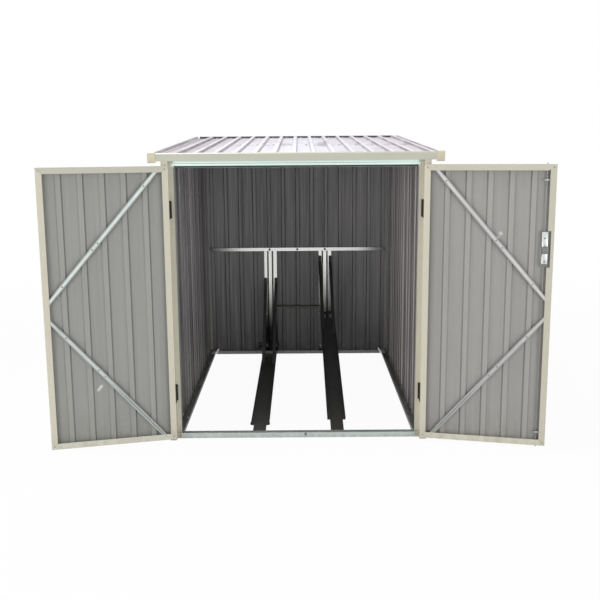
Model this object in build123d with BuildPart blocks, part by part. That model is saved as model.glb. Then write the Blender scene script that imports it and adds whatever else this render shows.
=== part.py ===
from build123d import *
import math
import os

os.makedirs("parts", exist_ok=True)

# Bike shelter in folded sheet steel, millimetres, +Z up, +Y towards the back.
# The origin is the middle of the front floor rail's underside, in the middle of the doorway.

# overall sizes
base_width = 1412.0
base_depth = 1978.0
front_height = 1570.0
roof_slope = 2.8
roof_side_overhang = 32.0
roof_back_overhang = 15.0

# sheet thicknesses, fits and edge distances
frame_t = 1.5
sheet_t = 1.0
seat = 0.3
trim_gap = 3.0
edge_inset = 4.0

# ribbed sheet
rib_pitch = 108.5
rib_base = 34.0
rib_crest = 20.0
rib_height = 14.0
rib_margin = 2.0
roof_rib_pitch = 104.2
roof_rib_centre = -11.0
door_rib_share = 0.32
door_rib_base = 38.0
door_rib_crest = 24.0

# floor frame
rail_width = 60.0
rail_height = 30.0
inner_flange = 24.0
sill_top_flange = 38.0
sill_fold_height = 9.0
sill_fold_step = 2.0
anchor_hole = 9.0
anchor_pitch = 520.0
anchor_edge = 14.0
side_anchor_edge = 44.0
side_anchor_inset = 300.0

# front posts and header
post_width = 58.0
stop_width = 25.0
stop_return = 18.0
post_return = 60.0
header_depth = 30.0
header_lip = 11.0
header_stop_height = 10.0
header_stop_recess = 5.0
header_overlap = 12.0

# back corner trims
corner_leg = 42.0

# fascia and its corner caps
fascia_side_overhang = 36.0
fascia_height = 43.0
fascia_lean = 6.0
fascia_flange = 24.0
fascia_front = 40.0
cap_length = 42.0
cap_above = 3.0
cap_below = 8.0
cap_depth = 34.0
cap_wall = 2.0
cap_radius = 5.0

# wall sheets and inner rails
wall_inset = 22.0
back_wall_gap = 24.0
top_rail_height = 38.0
top_rail_width = 24.0
top_rail_lip = 12.0
mid_rail_height = 25.0
mid_rail_depth = 14.0
mid_rail_centre = 816.0
mid_rail_end_gap = 16.0

# doors
door_bottom = 22.0
door_top_gap = 23.0
door_gap = 12.0
door_stop_gap = 7.5
leaf_thickness = 25.0
member_width = 32.0
member_t = 1.2
sheet_gap = 0.8
left_open_angle = 166.0
right_open_angle = 167.0
door_rib_centre = 340.0

# hinges
hinge_edge_gap = 3.0
knuckle_radius = 6.5
barrel_offset = 7.0
hinge_length = 92.0
hinge_inset_high = 231.0
hinge_inset_low = 245.0
hinge_pin_radius = 2.5
hinge_pin_clearance = 0.1
knuckle_gap = 0.6
knuckle_relief = 1.0
hinge_plate = 2.0
hinge_return = 15.0
moving_plate_width = 28.0

# door braces
brace_width = 24.0
brace_clearance = 4.0
brace_tab_width = 18.0
brace_tab_hinge = 50.0
brace_tab_free = 74.0
brace_meet = 762.0
brace_meet_gap = 42.0
brace_corner_rise = 22.0
brace_hinge_inset = 59.0
brace_free_inset = 22.0

# lock and bolt rods on the right door
rod_inset = 47.0
rod_radius = 2.5
rod_hole_radius = 3.5
rod_proud = 8.0
guide_thickness = 10.0
guide_width = 20.0
guide_shift = 3.0
guide_low = 90.0
guide_high = 1420.0
lock_centre = 1073.5
lock_plate_height = 187.0
lock_notch_width = 50.0
lock_plate_t = 2.0
lock_plate_inset = 16.0
lock_cover_inset = 8.0
lock_cover_width = 27.0
lock_cover_depth = 8.0
upper_cover = (11.0, 88.0)
lower_cover = (-76.0, -25.0)
lock_case_range = (-23.0, 9.0)
lock_case_width = 34.0
lock_case_depth = 12.0
lock_case_radius = 3.0
rod_lock_gap = 38.0
rod_plate_clearance = 0.75

# wheel rack
rack_x = 222.0
track_width = 106.0
track_t = 1.5
track_flange = 20.0
track_start = 180.0
tongue_width = 74.0
tongue_end = -8.0
raised_track_angle = 9.6
rack_post_x = 209.0
rack_post_width = 96.0
rack_post_crown = 22.0
rack_crown_shift = 2.5
rack_post_depth = 16.0
rack_post_web = 12.0
arm_width = 22.0
arm_depth = 24.0
arm_wall = 1.5
arm_end_radius = 6.0
arm_top_spread = 39.5
arm_side_clearance = 1.6
arm_top_low = 594.0
arm_top_high = 764.0
arm_tab = 44.0
arm_reach_low = 330.0
arm_reach_high = 430.0
arm_foot_stock = 30.0
bracket_leg = 42.0
bracket_width = 64.0
bracket_t = 2.5
crossbar_height = 22.0
crossbar_leg = 16.0
crossbar_t = 2.0
crossbar_overlap = 10.0
crossbar_rise = 13.0

# derived positions of the frame, the doorway and the walls
front = -rail_width / 2
back = front + base_depth
half = base_width / 2
stop_x = half - post_width
jamb_x = stop_x + stop_width
pivot_x = jamb_x - hinge_edge_gap
leaf_width = pivot_x - door_gap / 2
leaf_back = front - door_stop_gap
leaf_front = leaf_back - leaf_thickness
door_rib_height = door_rib_share * leaf_thickness
pivot_y = leaf_front - barrel_offset
post_outer = half + seat + frame_t
wall_inner = half - wall_inset
back_wall_inner = back - back_wall_gap - sheet_t
slope = math.radians(roof_slope)
rise = math.tan(slope)
fascia_bottom = front_height - fascia_height
door_top = fascia_bottom - door_top_gap
header_bottom = door_top - header_overlap
roof_half = half + roof_side_overhang
fascia_half = roof_half + fascia_side_overhang


def pan_z(y):
    """Height of the underside of the roof sheet's pans at a distance y towards the back."""
    return front_height + rise * (y - front) - (rib_height + sheet_t) / math.cos(slope)


def bent(points, thickness, side=Side.LEFT):
    """Closed outline of a folded sheet whose one face follows the points."""
    offset(Polyline(*points), amount=thickness, side=side, closed=True, kind=Kind.INTERSECTION)


def ribbed(start, end, centre, height, pitch=rib_pitch, base=rib_base, crest=rib_crest):
    """Points of a ribbed sheet's pan face from start to end; ribs keep their pitch from the centre."""
    points = [(start, 0.0)]
    reach = int(max(abs(start - centre), abs(end - centre)) / pitch) + 1
    for k in range(-reach, reach + 1):
        mid = centre + k * pitch
        if mid - base / 2 > start + rib_margin and mid + base / 2 < end - rib_margin:
            points.append((mid - base / 2, 0.0))
            points.append((mid - crest / 2, height))
            points.append((mid + crest / 2, height))
            points.append((mid + base / 2, 0.0))
    points.append((end, 0.0))
    return points


# underside of the roof sheet's pans
roof_under = Plane(
    origin=(0, front, pan_z(front)),
    x_dir=(1, 0, 0),
    z_dir=(0, -math.sin(slope), math.cos(slope)),
)


def along_slope(y):
    """Plane across the building at y, looking back up the roof's slope; its y axis points down."""
    return Plane(origin=(0, y, pan_z(y)), x_dir=(1, 0, 0), z_dir=(0, math.cos(slope), math.sin(slope)))


def across(x):
    """Upright plane at x for sections that run from left to right: its axes are Y and Z."""
    return Plane(origin=(x, 0, 0), x_dir=(0, 1, 0), z_dir=(1, 0, 0))


# front floor rail: a sill with a folded step in its face and a top flange, open to the back
with BuildPart() as floor_rail_front:
    with BuildSketch(across(-jamb_x + seat)):
        with BuildLine():
            bent(
                [
                    (front + rail_width, 0),
                    (front + sill_fold_step, 0),
                    (front + sill_fold_step, sill_fold_height - sill_fold_step),
                    (front, sill_fold_height),
                    (front, rail_height),
                    (front + sill_top_flange, rail_height),
                ],
                frame_t,
                Side.RIGHT,
            )
        make_face()
    extrude(amount=2 * (jamb_x - seat))
    with Locations((0, front + rail_width - anchor_edge, frame_t)):
        with GridLocations(2 * anchor_pitch, 1, 2, 1):
            Hole(anchor_hole / 2, depth=2 * frame_t)
floor_rail_front.part.label = "floor_rail_front"
export_step(floor_rail_front.part, "parts/floor_rail_front.step")

# side floor rails: channels lying on the floor, the wall sheet stands in them
side_rail_start = front + rail_width + seat
side_rail_end = back - rail_width - seat
for name, sign in (("left", -1.0), ("right", 1.0)):
    with BuildPart() as floor_rail_side:
        with BuildSketch(Plane(origin=(0, side_rail_start, 0), x_dir=(1, 0, 0), z_dir=(0, -1, 0))):
            with BuildLine():
                bent(
                    [
                        (sign * (half - rail_width), inner_flange),
                        (sign * (half - rail_width), 0),
                        (sign * half, 0),
                        (sign * half, rail_height),
                    ],
                    frame_t,
                    Side.LEFT if sign > 0 else Side.RIGHT,
                )
            make_face()
        extrude(amount=-(side_rail_end - side_rail_start))
        with Locations(
            (sign * (half - side_anchor_edge), side_rail_start + side_anchor_inset, frame_t),
            (sign * (half - side_anchor_edge), side_rail_end - side_anchor_inset, frame_t),
        ):
            Hole(anchor_hole / 2, depth=2 * frame_t)
    floor_rail_side.part.label = "floor_rail_" + name
    export_step(floor_rail_side.part, "parts/floor_rail_" + name + ".step")

# back floor rail; its inner flange is notched where the side rails meet it
with BuildPart() as floor_rail_back:
    with BuildSketch(across(-half)):
        with BuildLine():
            bent(
                [
                    (back - rail_width, inner_flange),
                    (back - rail_width, 0),
                    (back, 0),
                    (back, rail_height),
                ],
                frame_t,
                Side.LEFT,
            )
        make_face()
    extrude(amount=base_width)
    with BuildSketch(Plane.XY.offset(frame_t)):
        with Locations((0, back - rail_width)):
            with GridLocations(base_width - rail_width, 1, 2, 1):
                Rectangle(rail_width, 2 * frame_t + seat)
    extrude(amount=inner_flange, mode=Mode.SUBTRACT)
floor_rail_back.part.label = "floor_rail_back"
export_step(floor_rail_back.part, "parts/floor_rail_back.step")

# front posts: folded section with the door stop, the jamb, the front face and the side return
for name, sign in (("left", -1.0), ("right", 1.0)):
    with BuildPart() as front_post:
        with BuildSketch():
            with BuildLine():
                bent(
                    [
                        (sign * stop_x, front + stop_return),
                        (sign * stop_x, front),
                        (sign * jamb_x, front),
                        (sign * jamb_x, leaf_front),
                        (sign * post_outer, leaf_front),
                        (sign * post_outer, front + post_return),
                    ],
                    frame_t,
                    Side.RIGHT if sign < 0 else Side.LEFT,
                )
            make_face()
        extrude(amount=pan_z(front) - trim_gap)
        # the stop stands on the sill
        with BuildSketch():
            with Locations((sign * (jamb_x - stop_width / 2 - seat), front)):
                Rectangle(stop_width + 2 * seat, 2 * stop_return + frame_t)
        extrude(amount=rail_height + seat, mode=Mode.SUBTRACT)
        # the front face ends under the fascia's flange
        with BuildSketch(Plane.XY.offset(fascia_bottom - seat)):
            with Locations((sign * half, front - fascia_front)):
                Rectangle(2 * post_width, 2 * (fascia_flange + seat))
        extrude(amount=fascia_height, mode=Mode.SUBTRACT)
    front_post.part.label = "front_post_" + name
    export_step(front_post.part, "parts/front_post_" + name + ".step")

# back corner trims: angles outside the wall sheets
with BuildPart() as back_corner_posts:
    with BuildSketch():
        with BuildLine():
            bent(
                [
                    (half + seat, back + seat - corner_leg),
                    (half + seat, back + seat),
                    (half + seat - corner_leg, back + seat),
                ],
                frame_t,
                Side.RIGHT,
            )
        make_face()
    extrude(amount=pan_z(back - corner_leg) - trim_gap)
    mirror(about=Plane.YZ)
back_corner_posts.part.label = "back_corner_posts"
export_step(back_corner_posts.part, "parts/back_corner_posts.step")

# header above the doorway, with a folded lip and under it a set-back strip
header_face_low = header_bottom + header_stop_height
with BuildPart() as front_header:
    with BuildSketch(across(-stop_x + seat)):
        with BuildLine():
            bent(
                [
                    (front + header_depth, header_bottom),
                    (front + header_stop_recess, header_bottom),
                    (front + header_stop_recess, header_face_low),
                    (front, header_face_low),
                    (front, header_face_low + header_lip),
                    (front + sill_fold_step, header_face_low + header_lip + sill_fold_step),
                    (front + sill_fold_step, pan_z(front) - trim_gap),
                    (front + header_depth, pan_z(front) - trim_gap),
                ],
                frame_t,
                Side.RIGHT,
            )
        make_face()
    extrude(amount=2 * (stop_x - seat))
front_header.part.label = "front_header"
export_step(front_header.part, "parts/front_header.step")

# side wall sheets: ribs stand outwards, tops are cut to the roof's slope
wall_foot = frame_t + seat
wall_start = front + edge_inset
wall_end = back_wall_inner - seat
for name, sign in (("left", -1.0), ("right", 1.0)):
    with BuildPart() as wall_side:
        with BuildSketch(
            Plane(origin=(sign * wall_inner, 0, wall_foot), x_dir=(0, 1, 0), z_dir=(0, 0, 1))
        ):
            with BuildLine():
                bent(
                    ribbed(wall_start, wall_end, (wall_start + wall_end) / 2, -sign * rib_height),
                    sheet_t,
                    Side.RIGHT if sign > 0 else Side.LEFT,
                )
            make_face()
        extrude(amount=pan_z(back))
        split(bisect_by=roof_under.offset(-seat), keep=Keep.BOTTOM)
    wall_side.part.label = "wall_" + name
    export_step(wall_side.part, "parts/wall_" + name + ".step")

# back wall sheet
with BuildPart() as wall_back:
    with BuildSketch(Plane((0, back_wall_inner, wall_foot))):
        with BuildLine():
            bent(ribbed(-half + trim_gap, half - trim_gap, 0.0, rib_height), sheet_t, Side.LEFT)
        make_face()
    extrude(amount=pan_z(back))
    split(bisect_by=roof_under.offset(-seat), keep=Keep.BOTTOM)
wall_back.part.label = "wall_back"
export_step(wall_back.part, "parts/wall_back.step")

# top rails under the roof sheet, along the two side walls
top_rail_start = front + header_depth - 2 * edge_inset
top_rail_drop = (seat + top_rail_height) * math.sin(slope)
with BuildPart() as top_rails_side:
    with BuildSketch(along_slope(top_rail_start)):
        with BuildLine():
            bent(
                [
                    (wall_inner - seat - top_rail_width, seat + top_rail_lip),
                    (wall_inner - seat - top_rail_width, seat),
                    (wall_inner - seat, seat),
                    (wall_inner - seat, seat + top_rail_height),
                ],
                frame_t,
                Side.LEFT,
            )
        make_face()
    extrude(amount=(back_wall_inner - seat - top_rail_start - top_rail_drop) / math.cos(slope))
    mirror(about=Plane.YZ)
top_rails_side.part.label = "top_rails_side"
export_step(top_rails_side.part, "parts/top_rails_side.step")

# top rail under the roof sheet, along the back wall
back_rail_face = back_wall_inner - seat
back_rail_top = pan_z(back_rail_face - top_rail_width) - seat
back_rail_half = wall_inner - top_rail_width - 2 * seat
with BuildPart() as top_rail_back:
    with BuildSketch(across(-back_rail_half)):
        with BuildLine():
            bent(
                [
                    (back_rail_face, back_rail_top - top_rail_height),
                    (back_rail_face, back_rail_top),
                    (back_rail_face - top_rail_width, back_rail_top),
                    (back_rail_face - top_rail_width, back_rail_top - top_rail_lip),
                ],
                frame_t,
                Side.LEFT,
            )
        make_face()
    extrude(amount=2 * back_rail_half)
top_rail_back.part.label = "top_rail_back"
export_step(top_rail_back.part, "parts/top_rail_back.step")

# mid rail across the back wall, a channel with its open side to the wall
mid_rail_low = mid_rail_centre - mid_rail_height / 2
with BuildPart() as back_mid_rail:
    with BuildSketch(across(-wall_inner + mid_rail_end_gap)):
        with BuildLine():
            bent(
                [
                    (back_rail_face, mid_rail_low),
                    (back_rail_face - mid_rail_depth, mid_rail_low),
                    (back_rail_face - mid_rail_depth, mid_rail_low + mid_rail_height),
                    (back_rail_face, mid_rail_low + mid_rail_height),
                ],
                frame_t,
                Side.RIGHT,
            )
        make_face()
    extrude(amount=2 * (wall_inner - mid_rail_end_gap))
back_mid_rail.part.label = "back_mid_rail"
export_step(back_mid_rail.part, "parts/back_mid_rail.step")

# roof sheet: ribs run from front to back and stand up, close behind the fascia
roof_start = front - fascia_front + fascia_lean + frame_t + seat
with BuildPart() as roof_sheet:
    with BuildSketch(along_slope(roof_start)):
        with BuildLine():
            bent(
                ribbed(-roof_half, roof_half, roof_rib_centre, -rib_height, roof_rib_pitch),
                sheet_t,
                Side.RIGHT,
            )
        make_face()
    extrude(amount=(back + roof_back_overhang - roof_start) / math.cos(slope))
roof_sheet.part.label = "roof_sheet"
export_step(roof_sheet.part, "parts/roof_sheet.step")

# fascia in front of the roof sheet, with a bottom flange and a top edge that leans back
with BuildPart() as front_fascia:
    with BuildSketch(across(-fascia_half)):
        with BuildLine():
            bent(
                [
                    (front - fascia_front + fascia_flange, fascia_bottom),
                    (front - fascia_front, fascia_bottom),
                    (front - fascia_front, front_height - fascia_lean),
                    (front - fascia_front + fascia_lean, front_height),
                ],
                frame_t,
                Side.RIGHT,
            )
        make_face()
    extrude(amount=2 * fascia_half)
front_fascia.part.label = "front_fascia"
export_step(front_fascia.part, "parts/front_fascia.step")

# moulded corner caps over the ends of the fascia, rounded outside and open to the back and inside
cap_face = front - fascia_front - seat - cap_wall
cap_end = fascia_half + seat + cap_wall
cap_height = fascia_height + cap_above + cap_below
cap_centre = Vector(
    cap_end - cap_length / 2,
    cap_face + cap_depth / 2,
    fascia_bottom - cap_below + cap_height / 2,
)
with BuildPart() as fascia_caps:
    with Locations(cap_centre):
        Box(cap_length, cap_depth, cap_height)
    front_edges = fascia_caps.faces().sort_by(Axis.Y)[0].edges().sort_by(Axis.X)[1:]
    end_edges = fascia_caps.faces().sort_by(Axis.X)[-1].edges().sort_by(Axis.Y)[1:-1]
    fillet(front_edges + end_edges, cap_radius)
    with Locations(cap_centre + Vector(-cap_wall, cap_wall, 0)):
        Box(cap_length, cap_depth, cap_height - 2 * cap_wall, mode=Mode.SUBTRACT)
    mirror(about=Plane.YZ)
fascia_caps.part.label = "fascia_corner_caps"
export_step(fascia_caps.part, "parts/fascia_corner_caps.step")

# wheel rack: a hat-section post for each bike between the back floor rail and the mid rail
rack_post_foot = frame_t + seat
rack_crown_back = back_rail_face - rack_post_depth + frame_t
for name, sign in (("left", -1.0), ("right", 1.0)):
    centre = sign * rack_post_x
    crown = centre - rack_crown_shift
    with BuildPart() as rack_post:
        with BuildSketch(Plane.XY.offset(rack_post_foot)):
            with BuildLine():
                bent(
                    [
                        (centre - rack_post_width / 2, back_rail_face),
                        (crown - rack_post_crown / 2 - rack_post_web, back_rail_face),
                        (crown - rack_post_crown / 2, rack_crown_back),
                        (crown + rack_post_crown / 2, rack_crown_back),
                        (crown + rack_post_crown / 2 + rack_post_web, back_rail_face),
                        (centre + rack_post_width / 2, back_rail_face),
                    ],
                    frame_t,
                    Side.RIGHT,
                )
            make_face()
        extrude(amount=mid_rail_low - seat - rack_post_foot)
    rack_post.part.label = "rack_post_" + name
    export_step(rack_post.part, "parts/rack_post_" + name + ".step")

# wheel tracks: channels whose web goes on as a narrower tongue into the sill
track_bottom = frame_t + seat
track_tilt = math.radians(raised_track_angle)
low_track_plane = Plane(origin=(-rack_x, tongue_end, track_bottom), x_dir=(1, 0, 0), z_dir=(0, 0, 1))
high_track_plane = Plane(
    origin=(rack_x, tongue_end, track_bottom),
    x_dir=(1, 0, 0),
    z_dir=(0, -math.sin(track_tilt), math.cos(track_tilt)),
)
crown_face = back_rail_face - rack_post_depth
low_track_length = back - rail_width - seat - tongue_end
high_track_length = (crown_face - seat - tongue_end) / math.cos(track_tilt)
tongue_length = track_start - tongue_end
for name, plane, length in (
    ("low", low_track_plane, low_track_length),
    ("high", high_track_plane, high_track_length),
):
    channel_middle = (length + tongue_length) / 2
    with BuildPart() as wheel_track:
        with BuildSketch(plane):
            with Locations((0, length / 2)):
                Rectangle(tongue_width, length)
            with Locations((0, channel_middle)):
                Rectangle(track_width, length - tongue_length)
        extrude(amount=track_t)
        with BuildSketch(plane.offset(track_t)):
            with Locations((0, channel_middle)):
                with GridLocations(track_width - track_t, 1, 2, 1):
                    Rectangle(track_t, length - tongue_length)
        extrude(amount=track_flange - track_t)
    wheel_track.part.label = "wheel_track_" + name
    export_step(wheel_track.part, "parts/wheel_track_" + name + ".step")

# bracket that carries the raised track's back end on its post
bracket_back = crown_face - seat
raised_end = track_bottom + math.tan(track_tilt) * (bracket_back - tongue_end)
bracket_top = raised_end - seat / math.cos(track_tilt)
with BuildPart() as track_bracket:
    with BuildSketch(across(rack_x - bracket_width / 2)):
        with BuildLine():
            bent(
                [
                    (bracket_back, bracket_top - bracket_leg),
                    (bracket_back, bracket_top),
                    (
                        bracket_back - bracket_leg * math.cos(track_tilt),
                        bracket_top - bracket_leg * math.sin(track_tilt),
                    ),
                ],
                bracket_t,
                Side.LEFT,
            )
        make_face()
    extrude(amount=bracket_width)
track_bracket.part.label = "track_bracket_high"
export_step(track_bracket.part, "parts/track_bracket_high.step")

# dark crossbar between the two rack posts, above the raised track's back end
crossbar_back = back_rail_face - frame_t - seat
crossbar_half = rack_post_x - rack_post_width / 2 + crossbar_overlap
crossbar_low = raised_end + track_flange + crossbar_rise
with BuildPart() as rack_crossbar:
    with BuildSketch(across(-crossbar_half)):
        with BuildLine():
            bent(
                [
                    (crossbar_back - crossbar_leg, crossbar_low),
                    (crossbar_back, crossbar_low),
                    (crossbar_back, crossbar_low + crossbar_height),
                ],
                crossbar_t,
                Side.LEFT,
            )
        make_face()
    extrude(amount=2 * crossbar_half)
rack_crossbar.part.label = "rack_crossbar"
export_step(rack_crossbar.part, "parts/rack_crossbar.step")

# wheel holder arms: hollow bars that lean from the track to the post, with rounded tops
arm_y = back_rail_face - frame_t - seat - arm_depth / 2
arm_foot_spread = track_width / 2 - track_t - arm_side_clearance - arm_width / 2
for name, plane, top, reach, tilt in (
    ("low", low_track_plane, arm_top_low, arm_reach_low, 0.0),
    ("high", high_track_plane, arm_top_high, arm_reach_high, track_tilt),
):
    post_x = math.copysign(rack_post_x, plane.origin.X)
    foot_z = track_bottom + (arm_y - reach - tongue_end) * math.tan(tilt)
    arm_lines = []
    for hand in (-1.0, 1.0):
        foot = Vector(plane.origin.X + hand * arm_foot_spread, arm_y - reach, foot_z)
        knee = Vector(post_x + hand * arm_top_spread, arm_y, top - arm_tab)
        lean = (knee - foot).normalized()
        sideways = lean.cross(Vector(1, 0, 0)).cross(lean)
        section = Plane(origin=foot - lean * arm_foot_stock, x_dir=sideways, z_dir=lean)
        arm_lines.append((section, knee))
    with BuildPart() as rack_arms:
        for section, knee in arm_lines:
            with BuildLine():
                Polyline(section.origin, knee, (knee.X, knee.Y, top))
            with BuildSketch(section):
                Rectangle(arm_width, arm_depth)
            sweep(transition=Transition.RIGHT)
        end_faces = rack_arms.faces().sort_by(Axis.Z)[-2:]
        fillet(end_faces[0].edges() + end_faces[1].edges(), arm_end_radius)
        for section, knee in arm_lines:
            with BuildLine():
                Polyline(section.origin, knee, (knee.X, knee.Y, top - 2 * arm_wall))
            with BuildSketch(section):
                Rectangle(arm_width - 2 * arm_wall, arm_depth - 2 * arm_wall)
            sweep(transition=Transition.RIGHT, mode=Mode.SUBTRACT)
        split(bisect_by=plane.offset(track_t + seat), keep=Keep.TOP)
    rack_arms.part.label = "rack_arms_" + name
    export_step(rack_arms.part, "parts/rack_arms_" + name + ".step")

# doors: each leaf is drawn from its hinge axis, along the leaf and through its thickness
inner_face = barrel_offset + leaf_thickness
pan_face = barrel_offset + member_t + seat + sheet_t
sheet_face = pan_face + door_rib_height
brace_face = inner_face - member_t - seat
brace_back = sheet_face + brace_clearance
rod_depth = (sheet_face + brace_face - frame_t) / 2
rod_u = leaf_width - rod_inset
hinge_starts = (
    door_top - hinge_inset_high - hinge_length / 2,
    door_bottom + hinge_inset_low - hinge_length / 2,
)
knuckle = hinge_length / 3
plate_middle = hinge_edge_gap - seat - hinge_plate / 2
stile_outer = leaf_width - member_width
lock_start = leaf_width - lock_plate_inset - lock_notch_width
lock_low = lock_centre - lock_plate_height / 2

for name, side, open_angle in (("left", 1.0, left_open_angle), ("right", -1.0, right_open_angle)):
    swing = math.radians(180 - open_angle)
    along = Vector(-side * math.cos(swing), -math.sin(swing), 0)
    hinge_axis = Vector(-side * pivot_x, pivot_y, 0)
    plan = Plane(origin=hinge_axis, x_dir=along, z_dir=(0, 0, 1))
    inwards = Side.RIGHT if side > 0 else Side.LEFT
    outwards = Side.LEFT if side > 0 else Side.RIGHT
    door = name + "_door_"

    # mitred corners of the door frame; each plane faces from the stile to the rail
    up = Vector(0, 0, 1)
    hinge_corner = hinge_axis + along * hinge_edge_gap
    free_corner = hinge_axis + along * leaf_width
    hinge_mitre_top = Plane(origin=hinge_corner + up * door_top, z_dir=along + up)
    hinge_mitre_low = Plane(origin=hinge_corner + up * door_bottom, z_dir=along - up)
    free_mitre_top = Plane(origin=free_corner + up * door_top, z_dir=up - along)
    free_mitre_low = Plane(origin=free_corner + up * door_bottom, z_dir=Vector() - along - up)

    with BuildPart() as hinge_stile:
        with BuildSketch(plan.offset(door_bottom)):
            with BuildLine():
                bent(
                    [
                        (hinge_edge_gap + member_width, side * barrel_offset),
                        (hinge_edge_gap, side * barrel_offset),
                        (hinge_edge_gap, side * inner_face),
                        (hinge_edge_gap + member_width, side * inner_face),
                    ],
                    member_t,
                    inwards,
                )
            make_face()
        extrude(amount=door_top - door_bottom)
        split(bisect_by=hinge_mitre_top.offset(-seat / 2), keep=Keep.BOTTOM)
        split(bisect_by=hinge_mitre_low.offset(-seat / 2), keep=Keep.BOTTOM)
    hinge_stile.part.label = door + "hinge_stile"
    export_step(hinge_stile.part, "parts/" + door + "hinge_stile.step")

    with BuildPart() as free_stile:
        with BuildSketch(plan.offset(door_bottom)):
            with BuildLine():
                bent(
                    [
                        (stile_outer, side * barrel_offset),
                        (leaf_width, side * barrel_offset),
                        (leaf_width, side * inner_face),
                        (stile_outer, side * inner_face),
                    ],
                    member_t,
                    outwards,
                )
            make_face()
        extrude(amount=door_top - door_bottom)
        split(bisect_by=free_mitre_top.offset(-seat / 2), keep=Keep.BOTTOM)
        split(bisect_by=free_mitre_low.offset(-seat / 2), keep=Keep.BOTTOM)
        if name == "right":
            # the inner flange is notched over the lock
            notch_end = lock_start + lock_notch_width
            notch_middle = (stile_outer - seat + notch_end) / 2
            with BuildSketch(plan.offset(lock_low - seat)):
                with Locations((notch_middle, side * inner_face)):
                    Rectangle(notch_end - stile_outer + seat, 3 * member_t)
            extrude(amount=lock_plate_height + 2 * seat, mode=Mode.SUBTRACT)
    free_stile.part.label = door + "free_stile"
    export_step(free_stile.part, "parts/" + door + "free_stile.step")

    # top and bottom rails, mitred to the stiles
    rail_section = Plane(origin=hinge_corner, x_dir=up.cross(along), z_dir=along)
    with BuildPart() as door_rails:
        with BuildSketch(rail_section):
            with BuildLine():
                bent(
                    [
                        (side * barrel_offset, door_top - member_width),
                        (side * barrel_offset, door_top),
                        (side * inner_face, door_top),
                        (side * inner_face, door_top - member_width),
                    ],
                    member_t,
                    inwards,
                )
            make_face()
        extrude(amount=leaf_width - hinge_edge_gap)
        split(bisect_by=hinge_mitre_top.offset(seat / 2), keep=Keep.TOP)
        split(bisect_by=free_mitre_top.offset(seat / 2), keep=Keep.TOP)
        mirror(about=Plane.XY.offset((door_top + door_bottom) / 2))
        if name == "right":
            # the bolt rods pass through both rails
            with BuildSketch(plan):
                with Locations((rod_u, side * rod_depth)):
                    Circle(rod_hole_radius)
            extrude(amount=front_height, mode=Mode.SUBTRACT)
    door_rails.part.label = door + "rails"
    export_step(door_rails.part, "parts/" + door + "rails.step")

    # ribbed sheet in the frame, pans against the outer flange and ribs inwards
    with BuildPart() as door_sheet:
        with BuildSketch(plan.offset(door_bottom + member_t + sheet_gap)):
            with BuildLine():
                bent(
                    [
                        (u, side * (pan_face + v))
                        for u, v in ribbed(
                            hinge_edge_gap + member_t + sheet_gap,
                            leaf_width - member_t - sheet_gap,
                            door_rib_centre,
                            door_rib_height,
                            rib_pitch,
                            door_rib_base,
                            door_rib_crest,
                        )
                    ],
                    sheet_t,
                    inwards,
                )
            make_face()
        extrude(amount=door_top - door_bottom - 2 * (member_t + sheet_gap))
    door_sheet.part.label = door + "sheet"
    export_step(door_sheet.part, "parts/" + door + "sheet.step")

    # braces: channels with flattened ends behind the frame's inner flange
    with BuildPart() as door_braces:
        for corner_z, meet_z in (
            (door_top - brace_corner_rise, brace_meet + brace_meet_gap),
            (door_bottom + brace_corner_rise, brace_meet - brace_meet_gap),
        ):
            corner_u = hinge_edge_gap + brace_hinge_inset
            run = Vector(leaf_width - brace_free_inset - corner_u, meet_z - corner_z, 0)
            down = along * (run.X / run.length) + Vector(0, 0, run.Y / run.length)
            cross = along * (run.Y / run.length) - Vector(0, 0, run.X / run.length)
            corner = hinge_axis + along * corner_u + Vector(0, 0, corner_z)
            section = Plane(origin=corner, x_dir=cross, z_dir=down)
            with BuildSketch(section):
                with Locations((0, side * (brace_face - frame_t / 2))):
                    Rectangle(brace_tab_width, frame_t)
            extrude(amount=run.length)
            with BuildSketch(section.offset(brace_tab_hinge)):
                with BuildLine():
                    bent(
                        [
                            (-brace_width / 2, side * brace_back),
                            (-brace_width / 2, side * brace_face),
                            (brace_width / 2, side * brace_face),
                            (brace_width / 2, side * brace_back),
                        ],
                        frame_t,
                        inwards,
                    )
                make_face()
            extrude(amount=run.length - brace_tab_hinge - brace_tab_free)
    door_braces.part.label = door + "braces"
    export_step(door_braces.part, "parts/" + door + "braces.step")

    # moving hinge leaves: a plate on the door's edge with the middle knuckle
    hinge_planes = [plan.offset(low) for low in hinge_starts]
    with BuildPart() as hinge_leaves:
        with BuildSketch(*hinge_planes):
            with Locations((plate_middle, side * moving_plate_width / 2)):
                Rectangle(hinge_plate, moving_plate_width)
        extrude(amount=hinge_length)
        for gap_low in (0.0, 2 * knuckle - knuckle_gap):
            with BuildSketch(*[hinge_plane.offset(gap_low) for hinge_plane in hinge_planes]):
                Circle(knuckle_radius + knuckle_relief)
            extrude(amount=knuckle + knuckle_gap, mode=Mode.SUBTRACT)
        with BuildSketch(*[hinge_plane.offset(knuckle + knuckle_gap) for hinge_plane in hinge_planes]):
            Circle(knuckle_radius)
        extrude(amount=knuckle - 2 * knuckle_gap)
        with BuildSketch(*hinge_planes):
            Circle(hinge_pin_radius + hinge_pin_clearance)
        extrude(amount=hinge_length, mode=Mode.SUBTRACT)
    hinge_leaves.part.label = door + "hinge_leaves"
    export_step(hinge_leaves.part, "parts/" + door + "hinge_leaves.step")

    if name == "left":
        continue

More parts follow.
